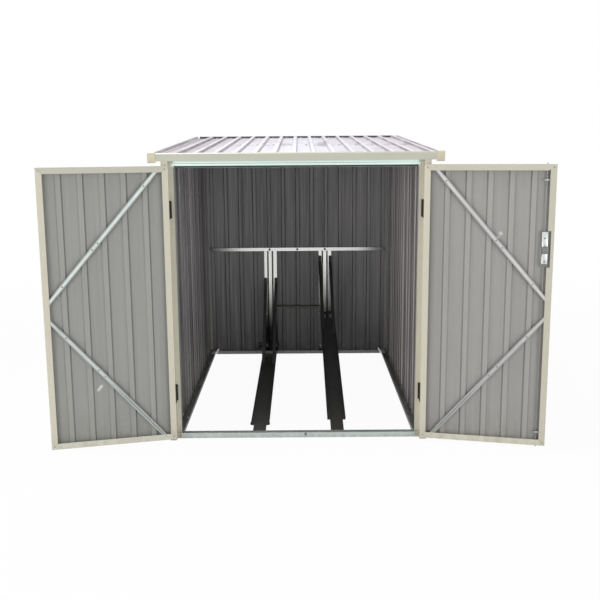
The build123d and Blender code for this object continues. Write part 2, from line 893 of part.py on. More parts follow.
    # lock plate behind the rods, seen in the notch and fixed to the free stile's edge
    plate_face = rod_depth - rod_radius - rod_plate_clearance
    plate_back = plate_face - lock_plate_t
    plate_width = leaf_width - member_t - seat - lock_start
    with BuildPart() as lock_plate:
        with BuildSketch(plan.offset(lock_low)):
            with Locations((lock_start + plate_width / 2, side * (plate_back + plate_face) / 2)):
                Rectangle(plate_width, lock_plate_t)
        extrude(amount=lock_plate_height)
    lock_plate.part.label = "lock_plate"
    export_step(lock_plate.part, "parts/lock_plate.step")

    # folded covers over the rods' inner ends
    cover_start = lock_start + lock_cover_inset
    cover_seat = plate_face + seat
    with BuildPart() as lock_covers:
        for low, high in (upper_cover, lower_cover):
            with BuildSketch(plan.offset(lock_centre + low)):
                with BuildLine():
                    bent(
                        [
                            (cover_start, side * cover_seat),
                            (cover_start, side * (cover_seat + lock_cover_depth)),
                            (cover_start + lock_cover_width, side * (cover_seat + lock_cover_depth)),
                            (cover_start + lock_cover_width, side * cover_seat),
                        ],
                        frame_t,
                        inwards,
                    )
                make_face()
            extrude(amount=high - low)
    lock_covers.part.label = "lock_covers"
    export_step(lock_covers.part, "parts/lock_covers.step")

    # lock case between the covers
    with BuildPart() as lock_case:
        with BuildSketch(plan.offset(lock_centre + lock_case_range[0])):
            with Locations(
                (cover_start + lock_case_width / 2, side * (cover_seat + lock_case_depth / 2))
            ):
                RectangleRounded(lock_case_width, lock_case_depth, lock_case_radius)
        extrude(amount=lock_case_range[1] - lock_case_range[0])
    lock_case.part.label = "lock_case"
    export_step(lock_case.part, "parts/lock_case.step")

    # guides for the bolt rods, on the sheet
    guide_start = pan_face + seat
    guide_end = brace_face - frame_t - seat
    with BuildPart() as rod_guides:
        with BuildSketch(plan.offset(guide_low), plan.offset(guide_high)):
            with Locations((rod_u - guide_shift, side * (guide_start + guide_end) / 2)):
                Rectangle(guide_width, guide_end - guide_start)
            with Locations((rod_u, side * rod_depth)):
                Circle(rod_hole_radius, mode=Mode.SUBTRACT)
        extrude(amount=guide_thickness)
    rod_guides.part.label = "lock_rod_guides"
    export_step(rod_guides.part, "parts/lock_rod_guides.step")

    # bolt rods, thrown: each stands proud of the door's edge
    for place, low, high in (
        ("upper", lock_centre + rod_lock_gap, door_top + rod_proud),
        ("lower", door_bottom - rod_proud, lock_centre - rod_lock_gap),
    ):
        with BuildPart() as lock_rod:
            with BuildSketch(plan.offset(low)):
                with Locations((rod_u, side * rod_depth)):
                    Circle(rod_radius)
            extrude(amount=high - low)
        lock_rod.part.label = "lock_rod_" + place
        export_step(lock_rod.part, "parts/lock_rod_" + place + ".step")

# fixed hinge leaves on the posts: two outer knuckles with the pin, and a return onto the stop's face
return_back = front - seat - pivot_y
return_end = hinge_edge_gap - seat
fixed_planes = [Plane((pivot_x, pivot_y, low)) for low in hinge_starts]
with BuildPart() as hinge_leaves_fixed:
    with BuildSketch(*fixed_planes):
        with Locations((plate_middle, return_back / 2)):
            Rectangle(hinge_plate, return_back)
        with Locations((return_end - hinge_return / 2, return_back - hinge_plate / 2)):
            Rectangle(hinge_return, hinge_plate)
    extrude(amount=hinge_length)
    with BuildSketch(*[fixed_plane.offset(knuckle) for fixed_plane in fixed_planes]):
        Circle(knuckle_radius + knuckle_relief)
    extrude(amount=knuckle, mode=Mode.SUBTRACT)
    for place in (0.0, 2 * knuckle):
        with BuildSketch(*[fixed_plane.offset(place) for fixed_plane in fixed_planes]):
            Circle(knuckle_radius)
        extrude(amount=knuckle)
    with BuildSketch(*fixed_planes):
        Circle(hinge_pin_radius)
    extrude(amount=hinge_length)
    mirror(about=Plane.YZ)
hinge_leaves_fixed.part.label = "hinge_leaves_fixed"
export_step(hinge_leaves_fixed.part, "parts/hinge_leaves_fixed.step")
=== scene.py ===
import math

import bpy
import numpy as np
from mathutils import Matrix


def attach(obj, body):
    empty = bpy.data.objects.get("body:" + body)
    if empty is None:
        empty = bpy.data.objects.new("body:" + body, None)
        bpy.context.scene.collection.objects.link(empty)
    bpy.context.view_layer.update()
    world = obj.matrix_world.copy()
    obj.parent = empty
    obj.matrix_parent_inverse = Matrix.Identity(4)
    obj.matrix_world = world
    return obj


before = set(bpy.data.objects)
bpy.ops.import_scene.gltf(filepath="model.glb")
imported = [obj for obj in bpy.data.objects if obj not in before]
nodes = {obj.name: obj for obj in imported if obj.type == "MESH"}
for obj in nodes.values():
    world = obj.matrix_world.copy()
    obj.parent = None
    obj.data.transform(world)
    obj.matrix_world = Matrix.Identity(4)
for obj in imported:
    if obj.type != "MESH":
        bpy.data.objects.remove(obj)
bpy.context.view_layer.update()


# ------------------------------------------------------------------ camera

def set_camera():
    """Eye in front of the doorway, a little above the roof's front edge, looking slightly down."""
    pitch, roll = math.radians(10.504), math.radians(-0.406)
    ahead = np.array([0.0, math.cos(pitch), -math.sin(pitch)])
    right = np.array([1.0, 0.0, 0.0])
    up = np.cross(right, ahead)
    turned = [
        right * math.cos(roll) + up * math.sin(roll),
        up * math.cos(roll) - right * math.sin(roll),
        -ahead,
    ]
    data = bpy.data.cameras.new("camera")
    data.sensor_width = 36.0
    data.lens = 50.94
    camera = bpy.data.objects.new("camera", data)
    bpy.context.scene.collection.objects.link(camera)
    place = Matrix(np.array(turned).T.tolist()).to_4x4()
    place.translation = (0.0151, -4.5491, 1.6184)
    camera.matrix_world = place
    bpy.context.scene.camera = camera


set_camera()


# ------------------------------------------------------------------ node helpers

even = (1.0, 1.0, 1.0)


def link(tree, value, socket):
    """Links an output socket to a socket, or sets a plain value on it."""
    if isinstance(value, bpy.types.NodeSocket):
        tree.links.new(value, socket)
    else:
        socket.default_value = value


def add(tree, kind, inputs=None, **settings):
    """Adds a node; inputs hold values, or output sockets to link from."""
    made = tree.nodes.new(kind)
    for key, value in settings.items():
        setattr(made, key, value)
    for key, value in (inputs or {}).items():
        link(tree, value, made.inputs[key])
    return made


def tree_of(*values):
    """Node tree of the first output socket among the values."""
    return next(value.id_data for value in values if isinstance(value, bpy.types.NodeSocket))


def maths(operation, first, second=0.0, clamp=False):
    """One Math node's result."""
    tree = tree_of(first, second)
    return add(tree, "ShaderNodeMath", {0: first, 1: second}, operation=operation, use_clamp=clamp).outputs[0]


def times(*values):
    """Product of the values, taken in their order."""
    product = values[0]
    for value in values[1:]:
        product = maths("MULTIPLY", product, value)
    return product


def plus(first, second):
    """Sum of two values."""
    return maths("ADD", first, second)


def less(first, second):
    """First value less the second."""
    return maths("SUBTRACT", first, second)


def distance(value, place=None):
    """Distance of a value from 0, or from a place."""
    return maths("ABSOLUTE", value if place is None else less(value, place))


def vector(operation, inputs, output=0):
    """One Vector Math node's result."""
    return add(tree_of(*inputs.values()), "ShaderNodeVectorMath", inputs, operation=operation).outputs[output]


def ramp(value, low, high, to_low=0.0, to_high=1.0):
    """Value between low and high brought to the range to_low to to_high, held at both ends."""
    inputs = {"Value": value, "From Min": low, "From Max": high, "To Min": to_low, "To Max": to_high}
    return add(tree_of(value), "ShaderNodeMapRange", inputs).outputs["Result"]


def band(value, rise, full, fall, end):
    """Mask that rises from 0 to 1 between rise and full, and falls back to 0 between fall and end."""
    return times(ramp(value, rise, full), ramp(value, fall, end, 1.0, 0.0))


def blend_colour(share, first, second):
    """First colour with a share of the second over it."""
    inputs = {"Factor": share, 6: first, 7: second}
    return add(tree_of(share), "ShaderNodeMix", inputs, data_type="RGBA").outputs[2]


def tinted(colour, share):
    """Colour multiplied by a share."""
    return vector("SCALE", {0: colour, "Scale": share})


def place_on(tree):
    """Object coordinates."""
    return add(tree, "ShaderNodeTexCoord").outputs["Object"]


def axes_on(tree):
    """Object coordinates, as outputs X, Y and Z."""
    return add(tree, "ShaderNodeSeparateXYZ", {"Vector": place_on(tree)}).outputs


def noise(tree, stretch, scale, detail, roughness=0.5):
    """Soft noise from 0 to 1, over object coordinates multiplied by a stretch for each axis."""
    stretched = vector("MULTIPLY", {0: place_on(tree), 1: stretch})
    inputs = {"Vector": stretched, "Scale": scale, "Detail": detail, "Roughness": roughness}
    return add(tree, "ShaderNodeTexNoise", inputs).outputs["Fac"]


def rgb(red, green, blue):
    """Screen colour from 0 to 255 as the linear colour that a shader takes."""
    c = np.array([red, green, blue]) / 255.0
    linear = np.where(c <= 0.04045, c / 12.92, ((c + 0.055) / 1.055) ** 2.4)
    return (*linear.tolist(), 1.0)


def new_group(name, inputs, outputs):
    """Empty shader node group with named sockets; returns the tree, its input node and its output node."""
    tree = bpy.data.node_groups.new(name, "ShaderNodeTree")
    kinds = {1: "NodeSocketFloat", 3: "NodeSocketVector", 4: "NodeSocketColor"}
    for label, value in inputs.items():
        tree.interface.new_socket(label, in_out="INPUT", socket_type=kinds[np.size(value)]).default_value = value
    for label in outputs:
        kind = {"Colour": "NodeSocketColor", "Normal": "NodeSocketVector"}.get(label, "NodeSocketFloat")
        tree.interface.new_socket(label, in_out="OUTPUT", socket_type=kind)
    return tree, add(tree, "NodeGroupInput").outputs, add(tree, "NodeGroupOutput").inputs


def close_group(tree, out, **results):
    """Links a group's results to its outputs of the same names; returns the group."""
    for label, value in results.items():
        tree.links.new(value, out[label])
    return tree


def use(tree, group, inputs):
    """Places a node group in a material with its own values; returns its outputs."""
    return add(tree, "ShaderNodeGroup", inputs, node_tree=group).outputs


# ------------------------------------------------------------------ shared effects

grey = (0.5, 0.5, 0.5, 1.0)


def make_coating():
    """Factory coating: broad uneven shade, and a fine orange-peel height."""
    tree, given, out = new_group(
        "coating", {"Colour": grey, "Unevenness": 0.06}, ["Colour", "Roughness", "Height"]
    )
    broad, cloud = noise(tree, (1.0, 1.0, 0.45), 3.2, 3.0), noise(tree, even, 21.0, 4.0, 0.6)
    both = plus(times(broad, 0.65), times(cloud, 0.35))
    swing = times(less(both, 0.5), times(given["Unevenness"], 4.0))
    return close_group(
        tree, out,
        Colour=tinted(given["Colour"], plus(swing, 1.0)),
        Roughness=ramp(cloud, 0.3, 0.7, 0.38, 0.5),
        Height=noise(tree, even, 620.0, 1.0),
    )


def make_zinc():
    """Hot-dip zinc: crystals of slightly different brightness over a soft cloudy bloom."""
    tree, given, out = new_group(
        "zinc_spangle", {"Colour": grey, "Crystal": 0.018, "Contrast": 0.22}, ["Colour", "Roughness", "Height"]
    )
    place = place_on(tree)
    moved = vector("MULTIPLY_ADD", {0: place, 1: noise(tree, even, 60.0, 2.0), 2: place})
    cells = add(tree, "ShaderNodeTexVoronoi", {"Vector": moved, "Scale": maths("DIVIDE", 1.0, given["Crystal"])})
    shade = add(tree, "ShaderNodeSeparateColor", {"Color": cells.outputs["Color"]}).outputs[0]
    mixed = plus(times(shade, 0.6), times(noise(tree, even, 5.0, 3.0), 0.4))
    swing = times(less(mixed, 0.5), given["Contrast"])
    return close_group(
        tree, out,
        Colour=tinted(given["Colour"], plus(swing, 1.0)),
        Roughness=ramp(shade, 0.0, 1.0, 0.3, 0.46),
        Height=shade,
    )


def make_grime():
    """Dust and splashes that thin out upwards from the foot, broken up by noise."""
    tree, given, out = new_group(
        "foot_grime", {"Colour": grey, "Grime": rgb(96, 90, 78), "Reach": 0.2, "Amount": 0.5}, ["Colour"]
    )
    height = maths("DIVIDE", axes_on(tree)["Z"], given["Reach"])
    low = maths("SUBTRACT", 1.0, height, clamp=True)
    patchy = ramp(noise(tree, (1.0, 1.0, 0.5), 34.0, 5.0, 0.65), 0.35, 0.7)
    mask = maths("MULTIPLY", times(low, patchy), given["Amount"], clamp=True)
    return close_group(tree, out, Colour=blend_colour(mask, given["Colour"], given["Grime"]))


def make_soft_edges():
    """Edges of folded sheet: the normal rounded over a small radius, and a mask that is 1 along the edges."""
    tree, given, out = new_group("soft_edges", {"Radius": 0.0015}, ["Normal", "Mask"])
    rounded = add(tree, "ShaderNodeBevel", {"Radius": given["Radius"]}, samples=4).outputs["Normal"]
    flat = add(tree, "ShaderNodeNewGeometry").outputs["Normal"]
    same = vector("DOT_PRODUCT", {0: rounded, 1: flat}, "Value")
    return close_group(tree, out, Normal=rounded, Mask=ramp(same, 0.97, 0.7))


def make_scuffs():
    """Fine rubbed scratches in two directions, gathered in patches."""
    tree, given, out = new_group("scuffs", {"Colour": grey, "Bare": (0.4, 0.4, 0.4, 1.0), "Amount": 0.3}, ["Colour"])
    lengthwise = noise(tree, (1.0, 0.03, 1.0), 420.0, 2.0)
    slanting = noise(tree, (0.2, 1.0, 1.0), 260.0, 2.0)
    marks = maths("MAXIMUM", ramp(lengthwise, 0.66, 0.74), ramp(slanting, 0.7, 0.78))
    patch = ramp(noise(tree, even, 6.0, 3.0), 0.45, 0.7)
    mask = maths("MULTIPLY", times(marks, patch), given["Amount"], clamp=True)
    return close_group(tree, out, Colour=blend_colour(mask, given["Colour"], given["Bare"]))


def make_facing():
    """Mask that is 1 on faces turned towards a direction of the piece itself, and 0 once they turn further away
    than the two limits, which are cosines."""
    tree, given, out = new_group("facing", {"Direction": (0.0, 1.0, 0.0), "Low": -0.02, "High": 0.02}, ["Mask"])
    own = add(tree, "ShaderNodeTexCoord").outputs["Normal"]
    turned = vector("DOT_PRODUCT", {0: own, 1: given["Direction"]}, "Value")
    return close_group(tree, out, Mask=ramp(turned, given["Low"], given["High"]))


def make_sheet_lines():
    """Upright lines in a rolled sheet, some paler and some darker than the coat, changing slowly with height."""
    tree, given, out = new_group("sheet_lines", {"Colour": grey, "Fineness": 60.0, "Amount": 0.3}, ["Colour"])
    coarse = noise(tree, (1.0, 1.0, 0.02), given["Fineness"], 1.0)
    fine = noise(tree, (1.0, 1.0, 0.01), times(given["Fineness"], 3.1), 1.0)
    patch = ramp(noise(tree, (1.0, 1.0, 0.7), 3.0, 1.0), 0.3, 0.7, 0.55, 1.2)
    both = plus(times(coarse, 0.6), times(fine, 0.4))
    swing = times(less(both, 0.5), patch, given["Amount"], 6.0)
    share = maths("MAXIMUM", plus(swing, 1.0), 0.35)
    return close_group(tree, out, Colour=tinted(given["Colour"], share))


def make_height_shading():
    """Painted shading by height: colour multiplied by a share from Low at the height Foot to 1 at the height Height.
    """
    tree, given, out = new_group("height_shading", {"Colour": grey, "Low": 0.5, "Foot": 0.0, "Height": 1.0}, ["Colour"])
    share = ramp(axes_on(tree)["Z"], given["Foot"], given["Height"], given["Low"], 1.0)
    return close_group(tree, out, Colour=tinted(given["Colour"], share))


def along_from(tree, start, direction):
    """Distance from a start, measured along a direction."""
    away = vector("SUBTRACT", {0: place_on(tree), 1: start})
    return vector("DOT_PRODUCT", {0: away, 1: direction}, "Value")


def make_rib_bands():
    """Mask that is 1 on the crests of evenly spaced ribs: Start lies on one rib, Along points across the ribs, Pitch
    is their spacing and Half the crest's half width as a share of it."""
    tree, given, out = new_group(
        "rib_bands", {"Start": (0.0, 0.0, 0.0), "Along": (1.0, 0.0, 0.0), "Pitch": 0.1085, "Half": 0.12}, ["Mask"]
    )
    off = along_from(tree, given["Start"], given["Along"])
    turns = maths("FRACT", plus(maths("DIVIDE", off, given["Pitch"]), 100.5))
    share = maths("DIVIDE", distance(turns, 0.5), given["Half"])
    return close_group(tree, out, Mask=ramp(share, 0.85, 1.1, 1.0, 0.0))


def make_strip_highlight():
    """Painted highlight across a strip: 1 on the line at Peak, given as a share of the half width from the middle
    line, and falling to 0 at Spread from it. The middle line passes through Start; Across points over the strip."""
    tree, given, out = new_group(
        "strip_highlight",
        {"Start": (0.0, 0.0, 0.0), "Across": (1.0, 0.0, 0.0), "Half": 0.01, "Peak": 0.0, "Spread": 1.0},
        ["Mask"],
    )
    off = along_from(tree, given["Start"], given["Across"])
    share = maths("DIVIDE", distance(off), given["Half"])
    gap = maths("DIVIDE", distance(share, given["Peak"]), given["Spread"])
    return close_group(tree, out, Mask=ramp(gap, 0.0, 1.0, 1.0, 0.0))


def make_smudge():
    """One blurred rubbed spot: 1 at its place, 0 beyond its size, ragged with noise. Size is given for each axis."""
    tree, given, out = new_group("smudge", {"Place": (0.0, 0.0, 0.0), "Size": (0.1, 0.1, 0.1)}, ["Mask"])
    away = vector("SUBTRACT", {0: place_on(tree), 1: given["Place"]})
    share = vector("DIVIDE", {0: away, 1: given["Size"]})
    far = vector("LENGTH", {0: share}, "Value")
    ragged = plus(far, times(noise(tree, (1.0, 0.4, 1.0), 38.0, 4.0), 0.9))
    return close_group(tree, out, Mask=ramp(ragged, 0.8, 1.3, 1.0, 0.0))


coating, zinc, grime = make_coating(), make_zinc(), make_grime()
soft_edges, scuffs, facing = make_soft_edges(), make_scuffs(), make_facing()
sheet_lines, height_shading, smudge = make_sheet_lines(), make_height_shading(), make_smudge()
rib_bands, strip_highlight = make_rib_bands(), make_strip_highlight()


# ------------------------------------------------------------------ finishes

def new_finish(name, metallic=0.0):
    """Empty material; returns it with its tree."""
    made = bpy.data.materials.new(name)
    made.use_nodes = True
    made.node_tree.nodes["Principled BSDF"].inputs["Metallic"].default_value = metallic
    return made, made.node_tree


def surface(made, colour, roughness, height, depth, normal=None):
    """Links colour, roughness and a small relief over the given normal into the main shader; returns the material."""
    tree = made.node_tree
    relief = {"Height": height, "Distance": depth, "Strength": 0.6}
    if normal is not None:
        relief["Normal"] = normal
    bumped = add(tree, "ShaderNodeBump", relief).outputs["Normal"]
    for label, value in (("Base Color", colour), ("Roughness", roughness), ("Normal", bumped)):
        link(tree, value, tree.nodes["Principled BSDF"].inputs[label])
    return made


def painted(name, colour, uneven=0.05, worn=None, dirt=0.35, foot=1.0):
    """Satin powder coat on folded steel, paler along the edges, with a little dirt at its foot. Foot is the coat's
    brightness at the floor against that at the top; above 1 it is painted light from the floor."""
    made, tree = new_finish(name)
    edge = use(tree, soft_edges, {"Radius": 0.0014})
    coat = use(tree, coating, {"Colour": colour, "Unevenness": uneven})
    # painted light: the coat grows lighter towards the floor by the share foot
    floor_lit = use(tree, height_shading, {"Colour": coat["Colour"], "Low": foot, "Height": 1.5})["Colour"]
    worn_colour = blend_colour(times(edge["Mask"], 0.5), floor_lit, worn or colour)
    dirty = use(tree, grime, {"Colour": worn_colour, "Reach": 0.12, "Amount": dirt})["Colour"]
    return surface(made, dirty, coat["Roughness"], coat["Height"], 0.00004, edge["Normal"])


def galvanised(name, colour, crystal=0.012, contrast=0.15, dirt=0.3, metallic=0.85, foot_shade=(1.0, 0.0, 0.8), shine=0.0,
               ends=None):
    """Galvanised steel with a spangle and a slightly dirty foot. The argument foot_shade holds the share, foot and
    height of painted shade that darkens it towards the floor, shine lowers the roughness, and ends paints shade that
    dims it between two distances from the middle."""
    made, tree = new_finish(name, metallic)
    edge = use(tree, soft_edges, {"Radius": 0.0012})
    metal = use(tree, zinc, {"Colour": colour, "Crystal": crystal, "Contrast": contrast})
    low, foot, height = foot_shade
    # painted shade: darker towards the floor
    lower = use(tree, height_shading, {"Colour": metal["Colour"], "Low": low, "Foot": foot, "Height": height})["Colour"]
    # painted shade: dimmer towards both ends
    if ends:
        lower = blend_colour(ramp(distance(axes_on(tree)["X"]), *ends), lower, rgb(96, 97, 96))
    dirty = use(tree, grime, {"Colour": lower, "Reach": 0.05, "Amount": dirt})["Colour"]
    return surface(made, dirty, less(metal["Roughness"], shine), metal["Height"], 0.00003, edge["Normal"])


def brace_finish(name, hand, bright):
    """Galvanised brace strips with a painted highlight along their middle and painted shade towards their edges; on
    the lower third of the lower one the painted highlight shows as two lines.
    """
    made, tree = new_finish(name, 0.6)
    edge = use(tree, soft_edges, {"Radius": 0.0016})
    highlights = []
    # painted highlights: one line along the middle of each brace, and one more on the lower third of the lower brace
    for which, peak, spread in (("upper", 0.05, 0.95), ("lower", 0.05, 1.0), ("lower", 0.62, 0.34)):
        start, end = on_leaf(hand, [(u, brace_face, z) for u, z in brace_lines[which]])
        across = np.cross((end - start) / np.linalg.norm(end - start), leaf_axes[hand][1])
        strip = {"Start": tuple(start), "Across": tuple(across), "Half": 0.012, "Peak": peak, "Spread": spread}
        highlights.append(use(tree, strip_highlight, strip)["Mask"])
    height = axes_on(tree)["Z"]
    upper = ramp(height, 0.760, 0.764)
    lined = ramp(height, 0.26, 0.40, 1.0, 0.0)
    plain = less(0.75, times(lined, 0.7))
    lower = plus(times(highlights[2], times(lined, 0.55)), times(highlights[1], plain))
    share = plus(times(highlights[0], upper), times(lower, less(1.0, upper)))
    cloud = ramp(noise(tree, even, 7.0, 3.0), 0.3, 0.7, 0.75, 1.1)
    # painted shade away from the highlights, and the highlight colour along them
    shaded = blend_colour(times(share, cloud), rgb(146, 149, 147), bright)
    metal = use(tree, zinc, {"Colour": shaded, "Crystal": 0.011, "Contrast": 0.3})
    return surface(made, metal["Colour"], metal["Roughness"], metal["Height"], 0.00003, edge["Normal"])


def sheet_coat(name, inside, direction, ribs, lines, low, shade, dirt=0.5, shaded=(0.0, -1.0, 0.0), rubs=()):
    """Ribbed sheet, coated grey inside and cream outside, with upright lines, painted shade that darkens it towards
    the floor by the share low, and a dusty foot. Ribs holds a point on a rib, the direction across the ribs and the
    brightness of a painted highlight on the crests inside, and lines the fineness and strength of the upright lines.
    Inside, painted shade darkens the rib sides that face the direction shaded by the amount shade, and rubs are the
    places and sizes of pale rubbed marks."""
    made, tree = new_finish(name)
    side = use(tree, facing, {"Direction": direction})["Mask"]
    start, along, brightness = ribs
    # painted highlight: the crests inside are lighter by the share brightness
    crest = use(tree, rib_bands, {"Start": start, "Along": along})["Mask"]
    inner = tinted(inside[:3], plus(times(crest, brightness - 1.0), 1.0))
    coat = use(tree, coating, {"Colour": blend_colour(side, outer_cream, inner), "Unevenness": 0.05})
    fineness, strength = lines
    inside_strength = plus(times(side, strength - 0.05), 0.05)
    lined = use(tree, sheet_lines, {"Colour": coat["Colour"], "Fineness": fineness, "Amount": inside_strength})
    # painted shade: darker towards the floor
    colour = use(tree, height_shading, {"Colour": lined["Colour"], "Low": low, "Height": 1.2})["Colour"]
    # painted shade on the rib sides inside that face the direction shaded
    shaded_rib_side = use(tree, facing, {"Direction": shaded, "Low": 0.3, "High": 0.6})["Mask"]
    colour = blend_colour(times(shaded_rib_side, side, shade), colour, rgb(30, 30, 32))
    for spot, size in rubs:
        rubbed = use(tree, smudge, {"Place": spot, "Size": size})["Mask"]
        colour = blend_colour(times(rubbed, side, 0.45), colour, rgb(232, 228, 229))
    dirty = use(tree, grime, {"Colour": colour, "Reach": 0.25, "Amount": dirt})["Colour"]
    return surface(made, dirty, coat["Roughness"], coat["Height"], 0.00003)


def black_coated(name, colour, bare, amount, dirt=0.25):
    """Black coat on steel, rubbed by tyres and hands."""
    made, tree = new_finish(name)
    edge = use(tree, soft_edges, {"Radius": 0.0012})
    coat = use(tree, coating, {"Colour": colour, "Unevenness": 0.1})
    rubbed = use(tree, scuffs, {"Colour": coat["Colour"], "Bare": bare, "Amount": amount})["Colour"]
    lit = blend_colour(times(edge["Mask"], 0.35), rubbed, bare)
    dirty = use(tree, grime, {"Colour": lit, "Reach": 0.08, "Amount": dirt})["Colour"]
    return surface(made, dirty, coat["Roughness"], coat["Height"], 0.00004, edge["Normal"])


def crossbar_finish():
    """Black coat, rubbed through to grey steel along the crossbar's lower edge."""
    made, tree = new_finish("crossbar_paint")
    coat = use(tree, coating, {"Colour": rgb(52, 52, 50), "Unevenness": 0.1})
    low = ramp(axes_on(tree)["Z"], 0.3665, 0.3685, 1.0, 0.0)
    rubbed = blend_colour(times(low, 0.8), coat["Colour"], rgb(186, 184, 170))
    return surface(made, rubbed, coat["Roughness"], coat["Height"], 0.00004)


def fixed_hinge_finish():
    """Black hinge knuckles whose return plates are painted over with the posts' cream, up to a ragged edge."""
    made, tree = new_finish("fixed_hinge_paint")
    where = axes_on(tree)
    on_post = ramp(where["Y"], -0.0400, -0.0398)
    inner = ramp(distance(where["X"]), 0.6615, 0.6618, 1.0, 0.0)
    mixed = blend_colour(times(on_post, inner), hinge_black, cream)
    coat = use(tree, coating, {"Colour": mixed, "Unevenness": 0.08})
    return surface(made, coat["Colour"], coat["Roughness"], coat["Height"], 0.00004)


def plated(name, colour, roughness):
    """Bright zinc plating on small hardware, cloudy in places."""
    made, tree = new_finish(name, 1.0)
    edge = use(tree, soft_edges, {"Radius": 0.0006})
    coat = use(tree, coating, {"Colour": colour, "Unevenness": 0.12})
    rough = ramp(noise(tree, even, 90.0, 3.0), 0.3, 0.7, roughness - 0.08, roughness + 0.12)
    return surface(made, coat["Colour"], rough, coat["Height"], 0.00002, edge["Normal"])


def rubbery(name, colour):
    """Dull weathered rubber or foam."""
    made, tree = new_finish(name)
    coat = use(tree, coating, {"Colour": colour, "Unevenness": 0.2})
    return surface(made, coat["Colour"], 0.85, noise(tree, even, 300.0, 3.0), 0.0004)


roof_rib_start, roof_rib_pitch = -0.011, 0.1042
roof_middle_rafter = 0.90


def roof_finish():
    """Roof coat: pale and slightly lilac, with painted shade towards the sides, on the faces that do not face up and
    in lines along the rib sides that face the middle, painted highlights on the crests, a faint line across the pans
    over the middle rafter, and rubbed smudges."""
    made, tree = new_finish("roof_coat")
    on_top = use(tree, facing, {"Direction": (0.0, 0.0, 1.0)})["Mask"]
    where = axes_on(tree)
    off_middle = distance(where["X"])
    # painted shade: darker towards the sides, more so on the left
    outward = ramp(distance(where["X"], 0.04), 0.05, 0.7)
    leftward = ramp(where["X"], -0.62, -0.12, 1.0, 0.0)
    sides = blend_colour(leftward, rgb(210, 202, 208), rgb(166, 158, 164))
    pale = blend_colour(outward, rgb(214, 214, 222), sides)
    # painted shade on the faces that do not face up
    coat = use(tree, coating, {"Colour": blend_colour(on_top, rgb(186, 185, 190), pale), "Unevenness": 0.06})
    cloud = ramp(noise(tree, (1.0, 0.25, 1.0), 15.0, 4.0, 0.65), 0.42, 0.7)
    colour = blend_colour(times(cloud, 0.35), coat["Colour"], rgb(150, 140, 152))
    # each rib covers one turn, with the middle of its crest at one half
    first_turn = 200.5 * roof_rib_pitch - roof_rib_start
    turn = maths("FRACT", maths("DIVIDE", plus(where["X"], first_turn), roof_rib_pitch))
    crest = band(turn, 0.40, 0.42, 0.58, 0.60)
    # painted highlight on the crests
    colour = blend_colour(times(crest, 0.45), colour, rgb(234, 231, 236))
    # painted shade: lines on the rib sides that face the middle, stronger away from it, and along the left pan's edge
    # and the edge trims' sides
    right_half = ramp(where["X"], -0.03, 0.03)
    on_right, on_left = band(turn, 0.335, 0.355, 0.405, 0.42), band(turn, 0.61, 0.63, 0.66, 0.69)
    line = plus(times(on_right, right_half), times(on_left, less(1.0, right_half)))
    pan_edge = ramp(distance(where["X"], -0.718), 0.004, 0.008, 1.0, 0.0)
    trim_side = band(off_middle, 0.7375, 0.7385, 0.7475, 0.7485)
    edges = times(maths("MAXIMUM", pan_edge, trim_side), 0.8)
    broken = ramp(noise(tree, (1.0, 0.5, 1.0), 6.0, 2.0), 0.35, 0.6, 0.55, 1.0)
    strength = ramp(off_middle, 0.05, 0.45, 0.35, 0.8)
    roof_shade_lines = times(maths("MAXIMUM", times(line, strength), edges), broken)
    colour = blend_colour(roof_shade_lines, colour, rgb(96, 86, 97))
    rafter = ramp(distance(where["Y"], roof_middle_rafter), 0.025, 0.05, 1.0, 0.0)
    on_pan = ramp(noise(tree, (1.0, 0.0, 0.0), 13.0, 1.0), 0.45, 0.52)
    colour = blend_colour(times(rafter, on_pan, 0.42), colour, rgb(104, 92, 106))
    for spot, size in (
        ((-0.565, 0.66, 1.59), (0.06, 0.26, 0.1)),
        ((-0.075, 1.02, 1.61), (0.07, 0.16, 0.1)),
        ((0.17, 1.0, 1.61), (0.06, 0.5, 0.1)),
        ((-0.62, 0.1, 1.56), (0.04, 0.3, 0.1)),
    ):
        rubbed = use(tree, smudge, {"Place": spot, "Size": size})["Mask"]
        colour = blend_colour(times(rubbed, 0.5), colour, rgb(112, 102, 114))
    return surface(made, colour, coat["Roughness"], coat["Height"], 0.00003)


# ------------------------------------------------------------------ directions, and the door leaves as they stand open

hands = {"left": -1, "right": 1}
to_right, to_back, to_front = (1.0, 0.0, 0.0), (0.0, 1.0, 0.0), (0.0, -1.0, 0.0)
upwards, downwards = (0.0, 0.0, 1.0), (0.0, 0.0, -1.0)

hinge_x, hinge_y = 0.670, -0.0695
leaf_angle = {"left": math.radians(14.0), "right": math.radians(13.0)}
leaf_width, leaf_low, leaf_top = 0.664, 0.022, 1.504
# depths through a leaf, counted inwards from its hinges' line
outer_face, brace_face, frame_face = 0.0070, 0.0305, 0.0320
brace_lines = {"upper": ((0.062, 1.482), (0.642, 0.804)), "lower": ((0.062, 0.044), (0.642, 0.720))}


def leaf_directions(side, angle):
    """Directions of an open leaf that stands at an angle before the front's line: along it from its hinge,
    (side cos, -sin, 0), through it to its inner face, (-side sin, -cos, 0), and up."""
    sine, cosine = math.sin(angle), math.cos(angle)
    return np.array([[side * cosine, -sine, 0.0], [-side * sine, -cosine, 0.0], [0.0, 0.0, 1.0]])


leaf_axes = {hand: leaf_directions(side, leaf_angle[hand]) for hand, side in hands.items()}
leaf_hinge = {hand: np.array([side * hinge_x, hinge_y, 0.0]) for hand, side in hands.items()}


def on_leaf(hand, points):
    """Points of a door leaf in the shelter's frame: along the leaf from its hinge, through it inwards, and up."""
    return leaf_hinge[hand] + np.atleast_2d(np.array(points, float)) @ leaf_axes[hand]


# ------------------------------------------------------------------ colours and finishes

cream, cream_pale, outer_cream = rgb(203, 198, 181), rgb(222, 218, 205), rgb(198, 193, 175)
hinge_black, rubbed_black = rgb(46, 44, 36), rgb(130, 130, 128)

